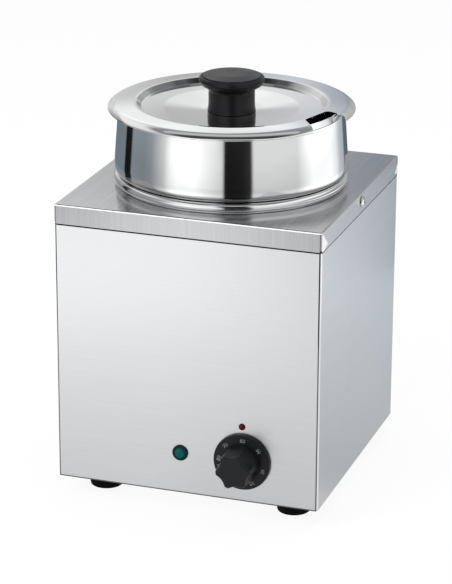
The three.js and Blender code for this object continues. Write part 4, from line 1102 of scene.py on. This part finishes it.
def tent_walls(n, turn, height):
    """The wall's bands from the floor up, each with the heights between which it sets in."""
    low = round_ramp(n, turn, [
        (-180, (0.16, 0.20, 0.23)), (-150, (0.20, 0.25, 0.29)), (-121, (0.21, 0.255, 0.29)),
        (-119.6, 0.010), (-108.4, 0.012), (-106.8, (0.27, 0.31, 0.34)), (-88, (0.24, 0.275, 0.30)),
        (-78, (0.29, 0.32, 0.35)), (-64, 0.64), (-57, 1.08), (-50, 1.25), (-33, 1.25), (-24, 1.02),
        (-10, 0.74), (-7.5, 0.66), (-6.3, 0.008), (10, 0.014), (17.6, 0.03), (19.8, 0.72), (40, 0.74),
        (62, 0.74), (74, 1.15), (80, 1.35), (106, 1.35), (117, (1.08, 1.12, 1.15)),
        (125, (0.66, 0.70, 0.73)), (136, (0.52, 0.57, 0.62)), (140, (0.14, 0.17, 0.20)),
    ])
    shelf = n.spread(height, 1.0, 0.8, 0.245, 0.205)
    shelf = n.maths("MAXIMUM", shelf, n.spread(height, 0.0, 1.02, 0.165, 0.13))
    low = n.shaded(low, shelf)
    middle = round_ramp(n, turn, [
        (-180, 0.52), (-174, 0.48), (-168, 0.60), (-160, 0.66), (-150, 0.70), (-135, 0.36),
        (-120, 0.34), (-118.5, 0.01), (-109.5, 0.01), (-107.5, 0.33), (-80, 0.32), (-64, 0.38),
        (-48, 0.95), (-40, 1.0), (-14, 0.98), (-7.5, 0.5), (-6.3, 0.02), (17.2, 0.02), (19.2, 0.80),
        (40, 0.78), (60, 0.60), (78, 0.33), (112, 0.30), (124, 0.38), (140, 0.48), (155, 0.44),
        (163, (0.30, 0.34, 0.38)), (167, (0.38, 0.42, 0.46)), (172, (0.60, 0.62, 0.65)), (180, 0.52),
    ])
    high = round_ramp(n, turn, [
        (-180, 0.83), (-176, 0.81), (-170, 0.90), (-164, 0.95), (-150, 0.80), (-130, 0.36), (-80, 0.34),
        (-62, 0.60), (-52, 1.0), (-20, 0.96), (-13, 0.3), (-8, 0.02), (16, 0.02), (20, 0.85), (40, 1.0),
        (100, 1.0), (130, 0.50), (150, 0.50), (160, (0.40, 0.43, 0.47)), (165, (0.43, 0.46, 0.51)),
        (169, (0.60, 0.63, 0.66)), (174, 0.84), (178, 0.90),
    ])
    high = n.shaded(high, n.spread(height, 1.0, 1.16, 0.605, 0.63))
    upper = round_ramp(n, turn, [
        (-180, 0.60), (-172, 1.02), (-165, 1.06), (-150, 0.90), (-130, 0.90), (-95, 0.80), (-78, 0.45),
        (-62, 0.60), (-52, 1.0), (-20, 0.96), (-13, 0.3), (-8, 0.02), (16, 0.02), (20, 0.85), (40, 1.0),
        (100, 1.0), (130, 0.45), (150, 0.45), (160, (0.46, 0.49, 0.53)), (170, (0.26, 0.29, 0.33)),
        (176, 0.42), (180, 0.54),
    ])
    top = round_ramp(n, turn, [
        (-180, (0.22, 0.23, 0.25)), (-160, 0.40), (-140, 0.85), (-95, 0.80), (-78, 0.45), (-55, 0.80),
        (-20, 0.90), (-8, 0.05), (16, 0.05), (24, 0.95), (90, 1.0), (120, 0.40),
        (180, (0.22, 0.23, 0.25)),
    ])
    return [
        (0.0005, 0.0015, low),
        (0.25, 0.32, middle),
        (0.51, 0.555, high),
        (0.635, 0.68, upper),
        (0.72, 0.96, top),
    ]


def tent_ground(n, turn):
    """The ground is paler on the camera's side, and darker toward the object."""
    ground = round_ramp(n, turn, [
        (-180, (0.46, 0.50, 0.53)), (-130, (0.60, 0.63, 0.65)), (-70, 0.84), (-52, 0.92), (-34, 0.93),
        (-10, 0.86), (30, 0.84), (50, 0.80), (62, (0.66, 0.69, 0.71)), (80, (0.62, 0.66, 0.69)),
        (100, (0.65, 0.69, 0.72)), (124, (0.65, 0.69, 0.715)), (136, (0.56, 0.61, 0.65)),
        (160, (0.50, 0.54, 0.57)),
    ])
    return n.shaded(ground, n.spread(n.reach(), 0.78, 1.02, 0.16, 0.6))


def tent_ceiling(n):
    """The ceiling's greys change from its far side to the camera's side."""
    yaw = math.radians(CAMERA_SIDE)
    across = n.times(n.axis("X"), math.sin(yaw))
    toward = n.maths("SUBTRACT", across, n.times(n.axis("Y"), math.cos(yaw)))
    return n.ramp(n.rise(toward, -TENT_RADIUS, TENT_RADIUS), [
        (0.0, 0.5), (0.38, (0.52, 0.525, 0.53)), (0.47, 0.2), (0.55, 0.06), (0.8, 0.045), (0.88, 0.85),
        (1.0, 1.0),
    ])


def tent_cloth():
    """The tent's glow: a ground, bands of grey up the wall, a plain dome and a ceiling."""
    n = Nodes("tent_cloth")
    height = n.axis("Z")
    side = n.maths("ARCTAN2", n.axis("X"), n.times(n.axis("Y"), -1.0))
    turn = n.maths("DIVIDE", n.maths("SUBTRACT", side, math.radians(CAMERA_SIDE)), 2 * math.pi)
    turn = n.maths("FRACT", n.maths("ADD", turn, 1.5))
    bands = tent_walls(n, turn, height)
    bands.append((0.97, 1.12, (0.25, 0.255, 0.265)))
    bands.append((TENT_HEIGHT - 0.002, TENT_HEIGHT - 0.0005, tent_ceiling(n)))
    colour = tent_ground(n, turn)
    for start, end, band in bands:
        colour = n.blend(n.rise(height, start, end), colour, band)
    glow = n.add("Emission", Color=colour, Strength=1.0)
    n.tree.links.new(glow.outputs[0], n.out.inputs["Surface"])
    n.material.cycles.emission_sampling = "NONE"
    return n.material


def make_tent():
    """Soft walls, a ground and a ceiling round the object, seen only in reflections."""
    bm = bmesh.new()
    rings = [ring(bm, TENT_RADIUS, z, 128) for z in (0.0004, TENT_HEIGHT)]
    skin(bm, rings)
    bm.faces.new(rings[0])
    bm.faces.new(rings[1])
    tent = object_of("light_tent", bm)
    tent.data.materials.append(tent_cloth())
    tent.visible_camera = False
    tent.visible_diffuse = False
    tent.visible_shadow = False
    tent.visible_transmission = False


def make_floor():
    n = Nodes("pale_floor")
    diffuse = n.add("BsdfDiffuse", Color=(0.86, 0.86, 0.86, 1))
    glow = n.add("Emission", Color=(1, 1, 1, 1), Strength=1.0)
    mix = n.tree.nodes.new("ShaderNodeMixShader")
    n.put(mix, 0, n.times(direct_rays(n.tree), 0.92))
    n.tree.links.new(diffuse.outputs[0], mix.inputs[1])
    n.tree.links.new(glow.outputs[0], mix.inputs[2])
    n.tree.links.new(mix.outputs[0], n.out.inputs["Surface"])
    bm = bmesh.new()
    size = 12.0
    corners = [(-size, -size), (size, -size), (size, size), (-size, size)]
    bm.faces.new([bm.verts.new((x, y, -0.0001)) for x, y in corners])
    floor = object_of("floor", bm)
    floor.data.materials.append(n.material)


def make_world():
    """White behind the object, and a soft even light on it that is no brighter for being white."""
    world = bpy.data.worlds.new("studio")
    bpy.context.scene.world = world
    world.use_nodes = True
    world.cycles.sampling_method = "NONE"
    tree = world.node_tree
    tree.nodes.clear()
    mix = tree.nodes.new("ShaderNodeMixShader")
    tree.links.new(direct_rays(tree), mix.inputs[0])
    for slot, colour in ((1, (0.62, 0.63, 0.645, 1)), (2, (1, 1, 1, 1))):
        light = tree.nodes.new("ShaderNodeBackground")
        light.inputs["Color"].default_value = colour
        tree.links.new(light.outputs[0], mix.inputs[slot])
    out = tree.nodes.new("ShaderNodeOutputWorld")
    tree.links.new(mix.outputs[0], out.inputs["Surface"])


def area_light(name, place, aim, size, watts):
    data = bpy.data.lights.new(name, "AREA")
    data.shape = "DISK"
    data.size = size
    data.energy = watts
    lamp = add_object(name, data)
    lamp.location = place
    lamp.rotation_mode = "QUATERNION"
    lamp.rotation_quaternion = (Vector(aim) - Vector(place)).to_track_quat("-Z", "Y")
    lamp.visible_glossy = False


def make_camera():
    yaw, pitch, roll = (math.radians(a) for a in (18.72, 19.64, 0.25))
    back = Vector((math.sin(yaw) * math.cos(pitch), -math.cos(yaw) * math.cos(pitch), math.sin(pitch)))
    right = Vector((math.cos(yaw), math.sin(yaw), 0))
    up = back.cross(right)
    tilted_right = right * math.cos(roll) + up * math.sin(roll)
    tilted_up = up * math.cos(roll) - right * math.sin(roll)
    data = bpy.data.cameras.new("camera")
    data.sensor_width = 36.0
    data.lens = 161.55
    data.clip_end = 50.0
    camera = add_object("camera", data)
    turn = Matrix((tilted_right, tilted_up, back)).transposed().to_4x4()
    camera.matrix_world = Matrix.Translation(Vector((736.0, -2185.7, 993.5)) * MM) @ turn
    bpy.context.scene.camera = camera


make_tent()
make_floor()
make_world()
area_light("key_light", (-1.1, -1.6, 1.9), (0, 0, 0.2), 1.3, 34)
area_light("top_light", (0.2, 0.3, 2.3), (0, 0, 0.2), 1.6, 24)
make_camera()

bpy.context.scene.view_settings.view_transform = "Standard"
